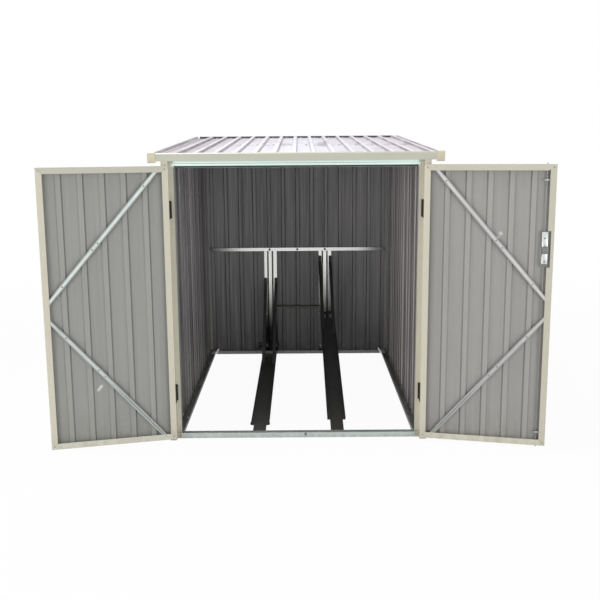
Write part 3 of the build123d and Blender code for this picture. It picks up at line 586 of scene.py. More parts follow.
cream_paint = painted("cream_paint", cream, worn=cream_pale)
# painted light: the door rails, the right free stile, the posts and the fascia are lighter or darker copies of the
# cream, and the rails grow lighter towards the floor
rail_paint_as_lit = {
    "left": painted("left_door_rail_paint", rgb(190, 188, 174), worn=cream_pale, foot=1.24),
    "right": painted("right_door_rail_paint", rgb(196, 192, 176), worn=cream_pale, foot=1.16),
}
free_stile_paint_as_lit = {
    "left": cream_paint,
    "right": painted("right_free_stile_paint", rgb(193, 189, 172), worn=cream_pale),
}
post_paint_as_lit = {
    "left": painted("left_post_paint", rgb(212, 209, 192), worn=cream_pale),
    "right": painted("right_post_paint", rgb(216, 211, 194), worn=cream_pale),
}
fascia_paint_as_lit = painted("fascia_paint_as_lit", rgb(190, 190, 176), worn=rgb(214, 213, 202), dirt=0.0)
cap_plastic = painted("cap_plastic", rgb(206, 200, 176), uneven=0.08, worn=rgb(214, 210, 192), dirt=0.0)
header_zinc = galvanised("header_zinc", rgb(226, 246, 238), contrast=0.12, dirt=0.1, metallic=0.7)
sill_zinc = galvanised("sill_zinc", rgb(205, 214, 210), metallic=0.75)
rail_zinc = galvanised("rail_zinc", rgb(188, 192, 189), crystal=0.016, contrast=0.25)
# painted shade: the mid rail dims towards both ends
mid_rail_zinc = galvanised("mid_rail_zinc", rgb(231, 233, 230), metallic=0.95, shine=0.17, ends=(0.48, 0.70))
# painted light and shade: the two posts' zinc differ in brightness, and each darkens towards the floor
rack_zinc = {
    "left": galvanised("rack_zinc_left", rgb(230, 232, 228), metallic=0.95, foot_shade=(0.05, 0.20, 0.60), shine=0.17),
    "right": galvanised("rack_zinc_right", rgb(240, 242, 238), metallic=0.95, foot_shade=(0.22, 0.34, 0.74), shine=0.17),
}
clip_zinc = galvanised("clip_zinc", rgb(176, 170, 182), crystal=0.010, contrast=0.4, metallic=0.2)
# painted highlight: near-white and not metal, so that the floor corner plates show as bright marks at the back corners
corner_plate_highlight = galvanised("corner_plate_highlight", rgb(240, 250, 246), crystal=0.010, contrast=0.1, dirt=0.0, metallic=0.0)
gusset_zinc = galvanised("gusset_zinc", rgb(236, 248, 242), crystal=0.010, contrast=0.1, dirt=0.0, metallic=0.95)
black_paint = black_coated("black_paint", rgb(60, 60, 59), rubbed_black, 0.25)
# painted light: a paler copy of the black paint, for the low track
low_track_paint_as_lit = black_coated("low_track_paint_as_lit", rgb(76, 77, 76), rubbed_black, 0.25)
hinge_paint = black_coated("hinge_paint", hinge_black, rgb(96, 92, 80), 0.3, dirt=0.0)
bright_zinc = plated("bright_zinc", rgb(176, 180, 186), 0.4)
plate_zinc = plated("plate_zinc", rgb(202, 208, 207), 0.4)
dark_steel = plated("dark_steel", rgb(112, 113, 112), 0.42)
rod_steel = plated("rod_steel", rgb(150, 149, 145), 0.5)
lock_grey = black_coated("lock_grey", rgb(132, 130, 126), rgb(170, 170, 168), 0.3, dirt=0.0)
roof_coat = roof_finish()
roof_screw_paint = painted("roof_screw_paint", rgb(196, 189, 194), dirt=0.0)
seal_rubber = rubbery("seal_rubber", rgb(88, 78, 90))
door_seal = rubbery("door_seal", rgb(52, 66, 63))
angle_coat = painted("angle_coat", rgb(178, 178, 175), uneven=0.12, dirt=0.0)


# ------------------------------------------------------------------ finishes on the frame

def give(finish, *names):
    """Puts a finish on frame nodes."""
    for name in names:
        for material_slot in nodes[name].material_slots:
            material_slot.material = finish


wall_rib_pitch, side_wall_middle = 0.1085, 0.9484
side_ribs = ((0.0, side_wall_middle, 0.0), to_back, 1.4)
side_lines = (11.0, 0.9)
# painted light: the right wall's inside grey is a lighter copy of the grey of the left and back walls
give(sheet_coat("wall_left_coat", rgb(178, 176, 176), to_right, side_ribs, side_lines, 0.85, 0.7), "wall_left")
give(sheet_coat("wall_right_coat", rgb(212, 204, 204), (-1.0, 0.0, 0.0), side_ribs, side_lines, 0.85, 0.7),
     "wall_right")
give(sheet_coat("wall_back_coat", rgb(178, 177, 178), to_front, ((0.0, 0.0, 0.0), to_right, 1.12), (62.0, 0.32), 0.62,
                0.45, shaded=to_right), "wall_back")

# rubbed marks on the door sheets: along the leaf, height, size
rub_spots = {
    "left": [(0.4090, 0.3245, 0.012), (0.4030, 0.3320, 0.012), (0.3970, 0.3400, 0.012), (0.3910, 0.3475, 0.012)],
    "right": [(0.3757, 1.1168, 0.018), (0.3854, 1.1300, 0.017), (0.3974, 1.1484, 0.018)],
}
# painted light: the two doors' greys are a lighter and a darker copy of one grey
door_grey = {"left": rgb(147, 148, 143), "right": rgb(154, 152, 148)}
door_middle, door_pan, door_crest = 0.340, 0.0095, 0.0175
for hand in hands:
    inwards, hingewards = tuple(leaf_axes[hand][1]), tuple(-leaf_axes[hand][0])
    spots = [(tuple(on_leaf(hand, [(u, door_pan, z)])[0]), (size, 0.05, size)) for u, z, size in rub_spots[hand]]
    # painted highlight on the crests, and painted shade on the rib sides that face the hinge
    ribs = (tuple(on_leaf(hand, [(door_middle, door_crest, 0.0)])[0]), tuple(leaf_axes[hand][0]), 1.07)
    coat = sheet_coat(hand + "_door_coat", door_grey[hand], inwards, ribs, (45.0, 0.05), 0.98, 0.28, dirt=0.3,
                      shaded=hingewards, rubs=spots)
    give(coat, hand + "_door_sheet")
    give(cream_paint, hand + "_door_hinge_stile")
    give(free_stile_paint_as_lit[hand], hand + "_door_free_stile")
    give(rail_paint_as_lit[hand], hand + "_door_rails")
    give(post_paint_as_lit[hand], "front_post_" + hand)
    give(hinge_paint, hand + "_door_hinge_leaves")
    give(rack_zinc[hand], "rack_post_" + hand)
# each hand's colour is the colour of the painted highlight on its braces
brace_zinc = {
    "left": brace_finish("left_brace_zinc", "left", rgb(222, 231, 227)),
    "right": brace_finish("right_brace_zinc", "right", rgb(212, 207, 208)),
}
give(brace_zinc["left"], "left_door_braces")
give(brace_zinc["right"], "right_door_braces")
give(fixed_hinge_finish(), "hinge_leaves_fixed")
give(cream_paint, "back_corner_posts")
give(fascia_paint_as_lit, "front_fascia")
give(cap_plastic, "fascia_corner_caps")
give(header_zinc, "front_header")
give(sill_zinc, "floor_rail_front")
give(rail_zinc, "floor_rail_left", "floor_rail_right", "floor_rail_back", "top_rails_side", "top_rail_back")
give(mid_rail_zinc, "back_mid_rail")
give(clip_zinc, "track_bracket_high")
give(low_track_paint_as_lit, "wheel_track_low")
give(black_paint, "wheel_track_high", "rack_arms_low", "rack_arms_high")
give(crossbar_finish(), "rack_crossbar")
give(roof_coat, "roof_sheet")
give(rod_steel, "lock_covers", "lock_rod_guides", "lock_rod_upper", "lock_rod_lower")
give(lock_grey, "lock_plate", "lock_case")


# ------------------------------------------------------------------ shapes

def turned(profile, steps, corners=None):
    """Rings of a turned shape: each profile point (radius, height) is carried once round the axis.
    With corners, the rings narrower than the widest one follow a regular polygon of that many corners instead: the
    radius at an angle is the radius times cos(half a sector) / cos(angle from the middle of its side)."""
    profile = np.array(profile, float)
    angle = np.arange(steps) * 2 * math.pi / steps
    radius = np.repeat(profile[:, :1], steps, axis=1)
    if corners:
        sector = 2 * math.pi / corners
        share = np.cos(sector / 2) / np.cos((angle + 1e-9) % sector - sector / 2)
        radius = np.where(profile[:, :1] > 0.999 * profile[:, 0].max(), radius, radius * share)
    height = np.repeat(profile[:, 1:], steps, axis=1)
    return np.stack([radius * np.cos(angle), radius * np.sin(angle), height], axis=2)


def rounded(width, height, radius, steps=4):
    """Outline of a rectangle whose corners are quarter circles, as points going round it once."""
    quarter = np.arange(steps + 1) * math.pi / 2 / steps
    centres = np.array([[1, 1], [-1, 1], [-1, -1], [1, -1]]) * (np.array([width, height]) / 2 - radius)
    angle = quarter[None, :] + np.arange(4)[:, None] * math.pi / 2
    return (centres[:, None] + radius * np.stack([np.cos(angle), np.sin(angle)], axis=2)).reshape(-1, 2)


def raised(outline, levels, bevels):
    """Rings of one outline, one at each level. Each ring is drawn in by its own bevel: a point moves to
    middle + (point - middle) * (1 - 2 * bevel / size)."""
    outline = np.array(outline, float)
    middle, size = (outline.max(0) + outline.min(0)) / 2, outline.max(0) - outline.min(0)
    share = 1 - 2 * np.array(bevels)[:, None] / size
    flat = middle + (outline - middle)[None] * share[:, None]
    return np.concatenate([flat, np.repeat(np.array(levels)[:, None, None], len(outline), axis=1)], axis=2)


def pressed(outline, thickness, bevel):
    """Rings of a flat plate, bevelled at its top."""
    return raised(outline, [0.0, thickness - bevel, thickness], [0.0, 0.0, bevel])


def bar(outline, length, bevel=0.0004):
    """Rings of an outline carried straight along its axis by a length, bevelled at both ends."""
    return raised(outline, [0.0, bevel, length - bevel, length], [bevel, 0.0, 0.0, bevel])


def strap(path, width, thickness):
    """Rings of a flat strap: a rectangle carried along a flat path of (x, y) points, standing on z = 0 and mitred
    at each point, where it is widened by one over the cosine of half the turn."""
    path = np.array(path, float)
    step = np.diff(path, axis=0)
    step /= np.linalg.norm(step, axis=1, keepdims=True)
    before, after = np.vstack([step[:1], step]), np.vstack([step, step[-1:]])
    heading = before + after
    heading /= np.linalg.norm(heading, axis=1, keepdims=True)
    widen = 1 / (heading * after).sum(1, keepdims=True)
    side = np.stack([heading[:, 1], -heading[:, 0]], axis=1) * widen * width / 2
    corners = np.stack([path + side, path - side, path - side, path + side], axis=1)
    level = np.broadcast_to(np.array([0.0, 0.0, thickness, thickness])[:, None], (len(path), 4, 1))
    return np.concatenate([corners, level], axis=2)


def for_side(outline, side):
    """Outline of the right side for side 1, and its mirror image for side -1, going round the same way."""
    return [(side * first, second) for first, second in outline][::side]


def on_both_sides(x, y, *heights):
    """Places at -x and at x, one at each height."""
    return [(side * x, y, z) for side in (-1, 1) for z in heights]


def placed(rings, places, facing_to, along=None):
    """Copies of a ring stack, one at each place; its axis points to facing_to and its first axis lies along."""
    places = np.atleast_2d(np.array(places, float))
    axis = np.broadcast_to(np.array(facing_to, float), places.shape)
    axis = axis / np.linalg.norm(axis, axis=1, keepdims=True)
    if along is None:
        along = np.where(np.abs(axis[:, 2:]) > 0.9, [to_right], [upwards])
    first = np.broadcast_to(np.array(along, float), places.shape)
    first = first - axis * (first * axis).sum(1, keepdims=True)
    first = first / np.linalg.norm(first, axis=1, keepdims=True)
    basis = np.stack([first, np.cross(axis, first), axis], axis=1)
    return places[:, None, None] + np.einsum("mnj,kji->kmni", rings, basis)


def skin(name, body, finish, stacks):
    """One mesh from ring stacks of shape (copies, rings, points, 3): each ring is joined to the next by a band of
    four-sided faces, and the first and last ring are closed by a flat face."""
    points, faces, start = [], [], 0
    for stack in stacks:
        copies, rings, count = stack.shape[:3]
        index = start + np.arange(copies * rings * count).reshape(copies, rings, count)
        after = np.roll(index, -1, axis=2)
        band_faces = np.stack([index[:, :-1], after[:, :-1], after[:, 1:], index[:, 1:]], axis=-1)
        faces += band_faces.reshape(-1, 4).tolist() + index[:, 0, ::-1].tolist() + index[:, -1].tolist()
        points.append(stack.reshape(-1, 3))
        start += copies * rings * count
    mesh = bpy.data.meshes.new(name)
    mesh.from_pydata(np.concatenate(points).tolist(), [], faces)
    mesh.shade_smooth()
    mesh.set_sharp_from_angle(angle=math.radians(35.0))
    mesh.materials.append(finish)
    made = bpy.data.objects.new(name, mesh)
    bpy.context.scene.collection.objects.link(made)
    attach(made, body)


def fasten(name, body, finish, head, places, facing_to):
    """One mesh of equal heads, one at each place, all facing the same way."""
    skin(name, body, finish, [placed(head, places, facing_to)])


roof_slope = math.radians(2.8)
roof_front, front_crest_height, roof_rib_height = -0.030, 1.5700, 0.0140


def on_roof(points):
    """Points over the roof sheet's pans in the shelter's frame: across, level distance to the back, and height
    square to the slope."""
    x, y, h = np.atleast_2d(np.array(points, float)).T
    pan_top = front_crest_height + math.tan(roof_slope) * (y - roof_front) - roof_rib_height / math.cos(roof_slope)
    return np.stack([x, y - h * math.sin(roof_slope), pan_top + h * math.cos(roof_slope)], axis=1)


# profiles of the heads: radius, height
pan_head = turned([(0.0042, 0.0), (0.0044, 0.0008), (0.0037, 0.0022), (0.0016, 0.0029)], 10)
small_head = turned([(0.0030, 0.0), (0.0031, 0.0006), (0.0026, 0.0016), (0.0011, 0.0021)], 8)
pin_end = turned([(0.0060, -0.0004), (0.0060, 0.0006), (0.0046, 0.0022), (0.0018, 0.0030)], 14)
sill_bolt = turned([(0.0066, 0.0), (0.0070, 0.0010), (0.0060, 0.0030), (0.0030, 0.0042), (0.0010, 0.0044)], 14)
washer_bolt = turned(
    [(0.0090, 0.0), (0.0090, 0.0010), (0.0056, 0.0012), (0.0056, 0.0046), (0.0044, 0.0054), (0.0012, 0.0056)], 12
)
hex_bolt = turned(
    [(0.0085, 0.0), (0.0085, 0.0012), (0.0062, 0.0013), (0.0062, 0.0050), (0.0050, 0.0056), (0.0012, 0.0057)], 12, 6
)
roof_screw = turned(
    [(0.0080, 0.0), (0.0080, 0.0014), (0.0052, 0.0022), (0.0048, 0.0026), (0.0046, 0.0060), (0.0012, 0.0064)], 12, 6
)
lock_cam = turned(
    [(0.0120, 0.0), (0.0120, 0.0030), (0.0102, 0.0042), (0.0050, 0.0044), (0.0042, 0.0078), (0.0015, 0.0084)], 20
)


# ------------------------------------------------------------------ stage and light

white = (1.0, 1.0, 1.0, 1.0)


def emptied(owner):
    """Node tree of a material or a world, without its first nodes."""
    owner.use_nodes = True
    owner.node_tree.nodes.clear()
    return owner.node_tree


def make_stage():
    """Plain pale floor that fades into the white surroundings and keeps the shelter's shadow."""
    reach, level = 30.0, -0.0006
    grid = [[-reach, -reach, level], [reach, -reach, level], [reach, reach, level], [-reach, reach, level]]
    mesh = bpy.data.meshes.new("floor")
    mesh.from_pydata(grid, [], [[0, 1, 2, 3]])
    floor = bpy.data.objects.new("floor", mesh)
    bpy.context.scene.collection.objects.link(floor)
    made = bpy.data.materials.new("floor_white")
    tree = emptied(made)
    rays = add(tree, "ShaderNodeLightPath").outputs
    far = vector("LENGTH", {0: place_on(tree)}, "Value")
    seen = times(rays["Is Camera Ray"], ramp(far, 2.6, 7.0, 0.955, 1.0))
    before_door = ramp(axes_on(tree)["Y"], -1.6, -0.05, 0.75, 0.12)
    outside = maths("MAXIMUM", before_door, ramp(far, 2.2, 5.0, 0.0, 0.9))
    reflected = maths("MAXIMUM", rays["Is Glossy Ray"], rays["Is Transmission Ray"])
    share = maths("MAXIMUM", seen, times(reflected, outside))
    plain = add(tree, "ShaderNodeBsdfDiffuse", {"Color": (0.8, 0.8, 0.8, 1.0)}).outputs[0]
    bright = add(tree, "ShaderNodeEmission", {"Color": white, "Strength": 1.0}).outputs[0]
    mixed = add(tree, "ShaderNodeMixShader", {0: share, 1: plain, 2: bright}).outputs[0]
    add(tree, "ShaderNodeOutputMaterial", {"Surface": mixed})
    mesh.materials.append(made)


def make_surroundings():
    """Even white surroundings: seen and mirrored at full strength, and lighting the shelter at a lower one."""
    world = bpy.data.worlds.new("white_room")
    bpy.context.scene.world = world
    tree = emptied(world)
    rays = add(tree, "ShaderNodeLightPath").outputs
    reflected = maths("MAXIMUM", rays["Is Glossy Ray"], rays["Is Transmission Ray"])
    shown = maths("MAXIMUM", rays["Is Camera Ray"], reflected)
    lighting = add(tree, "ShaderNodeBackground", {"Color": white, "Strength": 0.50}).outputs[0]
    seen = add(tree, "ShaderNodeBackground", {"Color": white, "Strength": 1.0}).outputs[0]
    mixed = add(tree, "ShaderNodeMixShader", {0: shown, 1: lighting, 2: seen}).outputs[0]
    add(tree, "ShaderNodeOutputWorld", {"Surface": mixed})


def soft_box(name, place, target, size, power):
    """Wide square lamp that faces its target."""
    data = bpy.data.lights.new(name, "AREA")
    data.shape = "RECTANGLE"
    data.size, data.size_y, data.energy = size, size, power
    lamp = bpy.data.objects.new(name, data)
    bpy.context.scene.collection.objects.link(lamp)
    away = np.array(place, float) - np.array(target, float)
    away /= np.linalg.norm(away)
    across = np.cross(upwards, away)
    across /= np.linalg.norm(across)
    turned_to = Matrix(np.array([across, np.cross(away, across), away]).T.tolist()).to_4x4()
    turned_to.translation = place
    lamp.matrix_world = turned_to


make_stage()
make_surroundings()
soft_box("left_light", (-3.1, -3.5, 1.3), (-0.3, 0.3, 0.7), 1.9, 54.0)
soft_box("right_light", (3.1, -3.5, 1.3), (0.3, 0.3, 0.7), 1.9, 50.0)
soft_box("top_light", (-1.2, -0.2, 4.5), (0.0, 0.9, 1.4), 1.5, 110.0)
bpy.context.scene.view_settings.view_transform = "Standard"


# ------------------------------------------------------------------ doors: fastenings, brace splices, edge rivets

# shares of a brace's length at which its bolts sit; the middle two lie on the splice, which stands proud
brace_marks = {
    "left": {"upper": (0.117, 0.541, 0.591, 0.866), "lower": (0.110, 0.531, 0.586, 0.859)},
    "right": {"upper": (0.093, 0.543, 0.598, 0.872), "lower": (0.105, 0.516, 0.590, 0.840)},
}
splice_lift, splice_depth = 0.0009, 0.0099
sleeve = [(-0.0121, 0.0), (-0.0121, 0.0092), (0.0121, 0.0092), (0.0121, 0.0), (0.0128, 0.0), (0.0128, 0.0098),
          (0.0120, 0.0106), (-0.0120, 0.0106), (-0.0128, 0.0098), (-0.0128, 0.0)]


def on_brace(which, share, depth):
    """Points of a door leaf along one brace: share of its length, at a depth through the leaf."""
    (u0, z0), (u1, z1) = brace_lines[which]
    share = np.atleast_1d(np.array(share, float))
    return np.stack([u0 + (u1 - u0) * share, np.full(len(share), depth), z0 + (z1 - z0) * share], axis=1)


rail_heights = (leaf_low + 0.016, leaf_top - 0.016)
stile_heights = np.arange(leaf_low + 0.09, leaf_top - 0.05, 0.1484)
door_pans = np.arange(0.123, 0.6, wall_rib_pitch)
for hand in hands:
    inwards, body = leaf_axes[hand][1], hand + "_door"
    corners = [(u, frame_face, z) for u in (0.0190, leaf_width - 0.0160) for z in rail_heights]
    fasten(body + "_corner_screws", body, dark_steel, small_head, on_leaf(hand, corners), inwards)
    bolts, ends, sleeves = [], [], []
    for which, marks in brace_marks[hand].items():
        lifted = [brace_face + splice_lift if 0.5 < mark < 0.62 else brace_face for mark in marks]
        bolts.append(on_brace(which, marks, lifted))
        ends.append(on_brace(which, (0.004, 0.990), frame_face))
        start, end = on_leaf(hand, on_brace(which, (0.515, 0.620), brace_face - splice_depth))
        run = end - start
        sleeves.append(placed(bar(sleeve, np.linalg.norm(run)), start, run, np.cross(inwards, run)))
    fasten(body + "_brace_bolts", body, rod_steel, pan_head,
           on_leaf(hand, np.concatenate(bolts)), inwards)
    fasten(body + "_brace_rivets", body, cream_paint, pan_head,
           on_leaf(hand, np.concatenate(ends)), inwards)
    skin(body + "_brace_sleeves", body, brace_zinc[hand], sleeves)
    edge = [(u, outer_face, z) for u in (0.018, leaf_width - 0.016) for z in stile_heights]
    edge += [(u, outer_face, z) for u in door_pans for z in rail_heights]
    fasten(body + "_edge_rivets", body, cream_paint, small_head, on_leaf(hand, edge), -inwards)

hinge_heights, knuckle_length = (0.221, 1.227), 0.092
screw_heights = [z + rise for z in hinge_heights for rise in (0.012, 0.046, 0.080)]
fasten("hinge_screws", "shed", hinge_paint, small_head,
       on_both_sides(0.6640, -0.0323, *screw_heights), to_front)
feet = np.array(on_both_sides(hinge_x, hinge_y, *hinge_heights))
skin("hinge_pin_ends", "shed", hinge_paint,
     [placed(pin_end, feet, downwards), placed(pin_end, feet + (0.0, 0.0, knuckle_length), upwards)])


# ------------------------------------------------------------------ lock on the right door

cover_face, cover_plate = 0.0283, 0.0014
lock_in = leaf_axes["right"][1]
# outlines of the plates over the rods: along the leaf, height
upper_plate = [(0.6340, 1.1620), (0.6060, 1.1620), (0.6048, 1.1604), (0.6050, 1.0860), (0.6058, 1.0838),
               (0.6132, 1.0845), (0.6196, 1.0955), (0.6262, 1.0845), (0.6334, 1.0838), (0.6344, 1.0860)]
lower_plate = [(0.6330, 1.0490), (0.6080, 1.0490), (0.6068, 1.0470), (0.6050, 1.0000), (0.6058, 0.9974),
               (0.6345, 0.9974), (0.6352, 1.0000), (0.6342, 1.0470)]


def on_lock(rings):
    """Rings of points (along the leaf, height, depth through it) brought to the right leaf, as one stack."""
    return on_leaf("right", rings[..., [0, 2, 1]].reshape(-1, 3)).reshape(1, *rings.shape)


def leaf_plate(outline, thickness, face):
    """Rings of a flat plate on the right leaf, standing off a face inwards: the outline at the face and at 0.7 of the
    thickness, and drawn in to 0.965 of its size about the middle of its points at the top."""
    outline = np.array(outline, float)
    middle = outline.mean(0)
    share = np.array([1.0, 1.0, 0.965])[:, None, None]
    depth = np.repeat((face + np.array([0.0, thickness * 0.7, thickness]))[:, None, None], len(outline), axis=1)
    return on_lock(np.concatenate([middle + (outline - middle)[None] * share, depth], axis=2))


skin("lock_rod_plates", "right_door", plate_zinc,
     [leaf_plate(outline, cover_plate, cover_face) for outline in (upper_plate, lower_plate)])
plate_top = cover_face + cover_plate
plate_screws = [(0.6190, plate_top, 1.1290), (0.6200, plate_top, 1.0090), (0.6290, frame_face, 1.4730)]
fasten("lock_plate_screws", "right_door", dark_steel, pan_head,
       on_leaf("right", plate_screws), lock_in)
lever_line = [(0.6100, 1.0860), (0.6010, 1.0760), (0.5995, 1.0400), (0.6000, 1.0120), (0.6100, 0.9930)]
lever = on_lock(strap(lever_line, 0.0032, 0.0022) + (0.0, 0.0, 0.0215))
skin("lock_lever", "right_door", bright_zinc, [lever])
fasten("lock_cam", "right_door", lock_grey, lock_cam,
       on_leaf("right", [(0.6220, 0.0323, 1.0665)]), lock_in)
guide_strap = bar(rounded(0.009, 0.0016, 0.0006, 2), 0.022)
guide_places = on_leaf("right", [(0.606, 0.0296, z) for z in (0.0955, 1.4255)])
skin("rod_guide_straps", "right_door", bright_zinc,
     [placed(guide_strap, place, leaf_axes["right"][0], upwards) for place in guide_places])


# ------------------------------------------------------------------ doorway: seal, cleats and screws

post_face = -0.0301
seal_line = [(-0.0046, 0.0), (0.0046, 0.0), (0.0046, 0.0022), (0.0030, 0.0038), (-0.0030, 0.0038), (-0.0046, 0.0022)]
skin("header_seal", "shed", door_seal,
     [placed(bar(seal_line, 1.290), (-0.645, -0.0251, 1.4971), to_right, downwards)])
foot_cleat = pressed(rounded(0.040, 0.0255, 0.002), 0.0012, 0.0004)
skin("post_foot_cleats", "shed", cream_paint,
     [placed(foot_cleat, on_both_sides(0.6600, post_face, 0.0215), to_front, upwards)])
top_cleat = pressed(rounded(0.016, 0.018, 0.002), 0.0010, 0.0003)
skin("header_cleats", "shed", header_zinc,
     [placed(top_cleat, on_both_sides(0.6570, post_face, 1.5075), to_front, upwards)])
cleat_screws = [(0.6585, -0.0311, 1.511), (0.6565, -0.0311, 1.503), (-0.6575, -0.0311, 1.509)]
cleat_screws += on_both_sides(0.6560, -0.0313, 0.018, 0.036)
for name, finish, slot, head, places in (
    ("cleat_screws", dark_steel, "zinc_plated_steel", small_head, cleat_screws),
    ("sill_bolts", dark_steel, "zinc_plated_steel", sill_bolt, [(0.041, -0.030, 0.021)]),
    ("post_screws", cream_paint, "cream_paint", small_head,
     on_both_sides(0.690, -0.0625, 0.020, 0.520, 1.020, 1.500)),
    ("cap_screws", cap_plastic, "cap_plastic", small_head, on_both_sides(0.752, -0.0723, 1.546)),
):
    fasten(name, "shed", finish, head, places, to_front)


# ------------------------------------------------------------------ roof: fillers behind, edge trims, screws

up_slope = np.array([0.0, math.cos(roof_slope), math.sin(roof_slope)])
off_slope = np.array([0.0, -math.sin(roof_slope), math.cos(roof_slope)])
# pans from left to right; the one outside the first rib is narrower
rib_lines = roof_rib_start + roof_rib_pitch * np.arange(-6, 8)
pans = rib_lines[:-1] + roof_rib_pitch / 2
edge_pan = rib_lines[0] - roof_rib_pitch / 2
fillers = []
for left_foot, left_top, places in ((-0.0345, -0.0412, pans), (-0.0410, -0.0410, [edge_pan])):
    filler = [(left_foot, 0.0), (0.0345, 0.0), (0.0412, 0.0134), (left_top, 0.0134)]
    middles = on_roof([(x, 1.958, 0.0002) for x in places])
    fillers.append(placed(bar(filler, 0.013, 0.0008), middles, -up_slope, to_right))
skin("roof_fillers", "shed", seal_rubber, fillers)
# outline of the folded edge trim: height over the pans, distance outwards
half_rib = [(0.0010, -0.0024), (0.0010, -0.0004), (0.0140, 0.0088), (0.0140, 0.0212), (0.0130, 0.0222),
            (-0.0060, 0.0222), (-0.0060, 0.0212), (0.0126, 0.0212), (0.0130, 0.0208), (0.0130, 0.0095),
            (0.0, 0.0003), (0.0, -0.0024)]
for hand, side in hands.items():
    trim = bar(for_side(half_rib, side), 1.992, 0.0003)
    skin("roof_edge_trim_" + hand, "shed", roof_coat,
         [placed(trim, on_roof([(side * 0.7382, -0.036, 0.0002)]), up_slope, side * off_slope)])
# rows of roof screws: distance to the back, shift across
screw_rows = ((0.02, 0.0), (0.93, 0.021), (1.905, -0.012))
roof_screws = on_roof([(x + shift, y, 0.0) for y, shift in screw_rows for x in pans])
fasten("roof_screws", "shed", roof_screw_paint, roof_screw, roof_screws, off_slope)


# ------------------------------------------------------------------ inside: wheel rack, floor frame and corners

rack_post_x, track_x, arm_tops = (-0.209, 0.209), (-0.222, 0.222), (0.594, 0.764)
for name, finish, slot, head, places in (
    ("mid_rail_bolts", rod_steel, "zinc_plated_steel", washer_bolt,
     [(x, 1.9087, 0.816) for x in (-0.215, -0.003, 0.2075, 0.645, -0.645)]),
    ("rack_post_bolts", bright_zinc, "zinc_plated_steel", hex_bolt,
     [(x + reach, 1.9212, z) for x in rack_post_x for z in (0.060, 0.313) for reach in (-0.036, 0.036)]),
    ("arm_bolts", black_paint, "black_coating", pan_head,
     [(x + reach, 1.8969, top - 0.026) for x, top in zip(rack_post_x, arm_tops) for reach in (-0.0395, 0.0395)]),
    ("crossbar_bolts", bright_zinc, "zinc_plated_steel", small_head, on_both_sides(0.1665, 1.9189, 0.372)),
):
    fasten(name, "shed", finish, head, places, to_front)

tie = [(0.0, 0.0), (0.0, 0.034), (-0.0018, 0.034), (-0.0018, 0.0018), (-0.030, 0.0018), (-0.030, 0.0)]
skin("low_track_tie", "shed", black_paint,
     [placed(bar(tie, 0.160), (-0.310, 1.9206, 0.052), to_right, to_back)])
fasten("low_track_tie_bolts", "shed", bright_zinc, pan_head,
       [(x, 1.9188, 0.072) for x in (-0.290, -0.180)], to_front)
ear = bar(rounded(0.018, 0.010, 0.002, 2), 0.0045)
skin("low_track_ears", "shed", black_paint,
     [placed(ear, (track_x[0] + side * 0.0525, 0.183, 0.0115), (side, 0.0, 0.0), to_front) for side in (-1, 1)])

track_slope, track_start = 0.16914, -0.008
off_track = (0.0, -track_slope, 1.0)
clip = pressed(rounded(0.034, 0.070, 0.003), 0.0024, 0.0006)
clip_y = 1.815
clip_height = 0.0018 + track_slope * (clip_y - track_start) + 0.0016
clip_places = [(track_x[1] + side * 0.030, clip_y, clip_height) for side in (-1, 1)]
skin("high_track_clips", "shed", clip_zinc, [placed(clip, clip_places, off_track, to_right)])
clip_bolts = [(x, y + reach, z + reach * track_slope + 0.0024) for x, y, z in clip_places
              for reach in (-0.022, 0.022)]
fasten("high_track_clip_bolts", "shed", bright_zinc, hex_bolt, clip_bolts, off_track)
front_bolts = [(x + reach, y, 0.0033 + slope * (y - track_start)) for x, slope in zip(track_x, (0.0, 0.1691))
               for reach in (-0.024, 0.024) for y in (0.022, 0.090)]
fasten("track_front_bolts", "shed", dark_steel, pan_head, front_bolts, upwards)

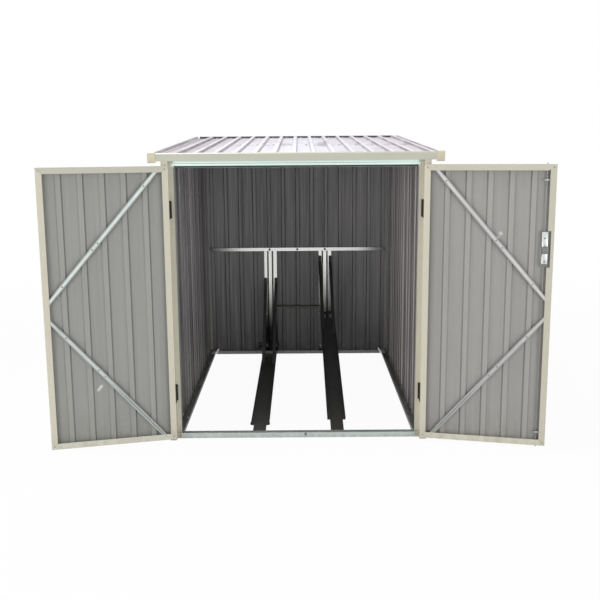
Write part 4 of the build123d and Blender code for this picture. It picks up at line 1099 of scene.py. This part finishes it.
side_strip = pressed(rounded(0.024, 0.125, 0.003), 0.0016, 0.0005)
back_strip = pressed(rounded(0.060, 0.024, 0.003), 0.0016, 0.0005)
skin("floor_corner_plates", "shed", corner_plate_highlight,
     [placed(side_strip, on_both_sides(0.6580, 1.850, 0.0241), upwards, to_right),
      placed(back_strip, (-0.6280, 1.8995, 0.0241), upwards, to_right)])
gusset = [(0.0020, 0.0), (0.0135, 0.0), (0.0135, 0.0110), (-0.0040, 0.0420), (-0.0160, 0.0420)]
gusset_lean = (0.0, -0.97, 0.243)
skin("floor_corner_gussets", "shed", gusset_zinc,
     [placed(bar(for_side(gusset, side), 0.0016), (side * 0.632, 1.8812, 0.0010), gusset_lean, to_right)
      for side in (-1, 1)])
fasten("floor_corner_screws", "shed", dark_steel, pan_head,
       on_both_sides(0.658, 1.870, 0.0257), upwards)

# inner corner angle in plan: a leg on each wall, the back one with a small folded lip
side_wall_face, back_wall_face = 0.6838, 1.9228
corner_plan = [(side_wall_face, 1.9060), (side_wall_face, 1.9226), (0.6640, 1.9226), (0.6640, 1.9170),
               (0.6650, 1.9170), (0.6650, 1.9215), (0.6827, 1.9215), (0.6827, 1.9060)]
# heights of its two lengths, below and above the mid rail
corner_lengths = ((0.030, 0.801), (0.831, 1.604))
foot_bolts = {
    "left": (0.28, 0.50, 0.75, 1.08, 1.57, 1.80),
    "right": (0.30, 0.39, 0.53, 0.75, 0.86, 1.09, 1.25, 1.69),
    "back": (-0.52, -0.39, -0.08, 0.07, 0.40, 0.53),
}
for hand, side in hands.items():
    plan = for_side(corner_plan, side)
    skin("corner_angle_" + hand, "shed", angle_coat,
         [bar(plan, high - low)[None] + (0.0, 0.0, low) for low, high in corner_lengths])
for hand, side in hands.items():
    places = [(side * side_wall_face, y, 0.038) for y in foot_bolts[hand]]
    fasten("wall_foot_bolts_" + hand, "shed", bright_zinc, washer_bolt, places,
           (-side, 0.0, 0.0))
fasten("wall_foot_bolts_back", "shed", bright_zinc, pan_head,
       [(x, back_wall_face, 0.040) for x in foot_bolts["back"]], to_front)


# ------------------------------------------------------------------ outside of the walls

side_pans = side_wall_middle + wall_rib_pitch * (np.arange(-9, 9) + 0.5)
back_pans = wall_rib_pitch * (np.arange(-6, 6) + 0.5)
for hand, side in hands.items():
    places = [(side * 0.6852, y, z) for z in (0.060, 0.780, 1.500) for y in side_pans]
    fasten("wall_screws_" + hand, "shed", cream_paint, pan_head, places, (side, 0.0, 0.0))
fasten("wall_screws_back", "shed", cream_paint, pan_head,
       [(x, 1.9242, z) for z in (0.060, 0.816, 1.600) for x in back_pans], to_back)
edge_heights = np.arange(0.10, 1.5, 0.20)
skin("post_edge_rivets", "shed", cream_paint,
     [placed(small_head, [(side * 0.7078, 0.010, z) for z in edge_heights], (side, 0.0, 0.0)) for side in (-1, 1)])
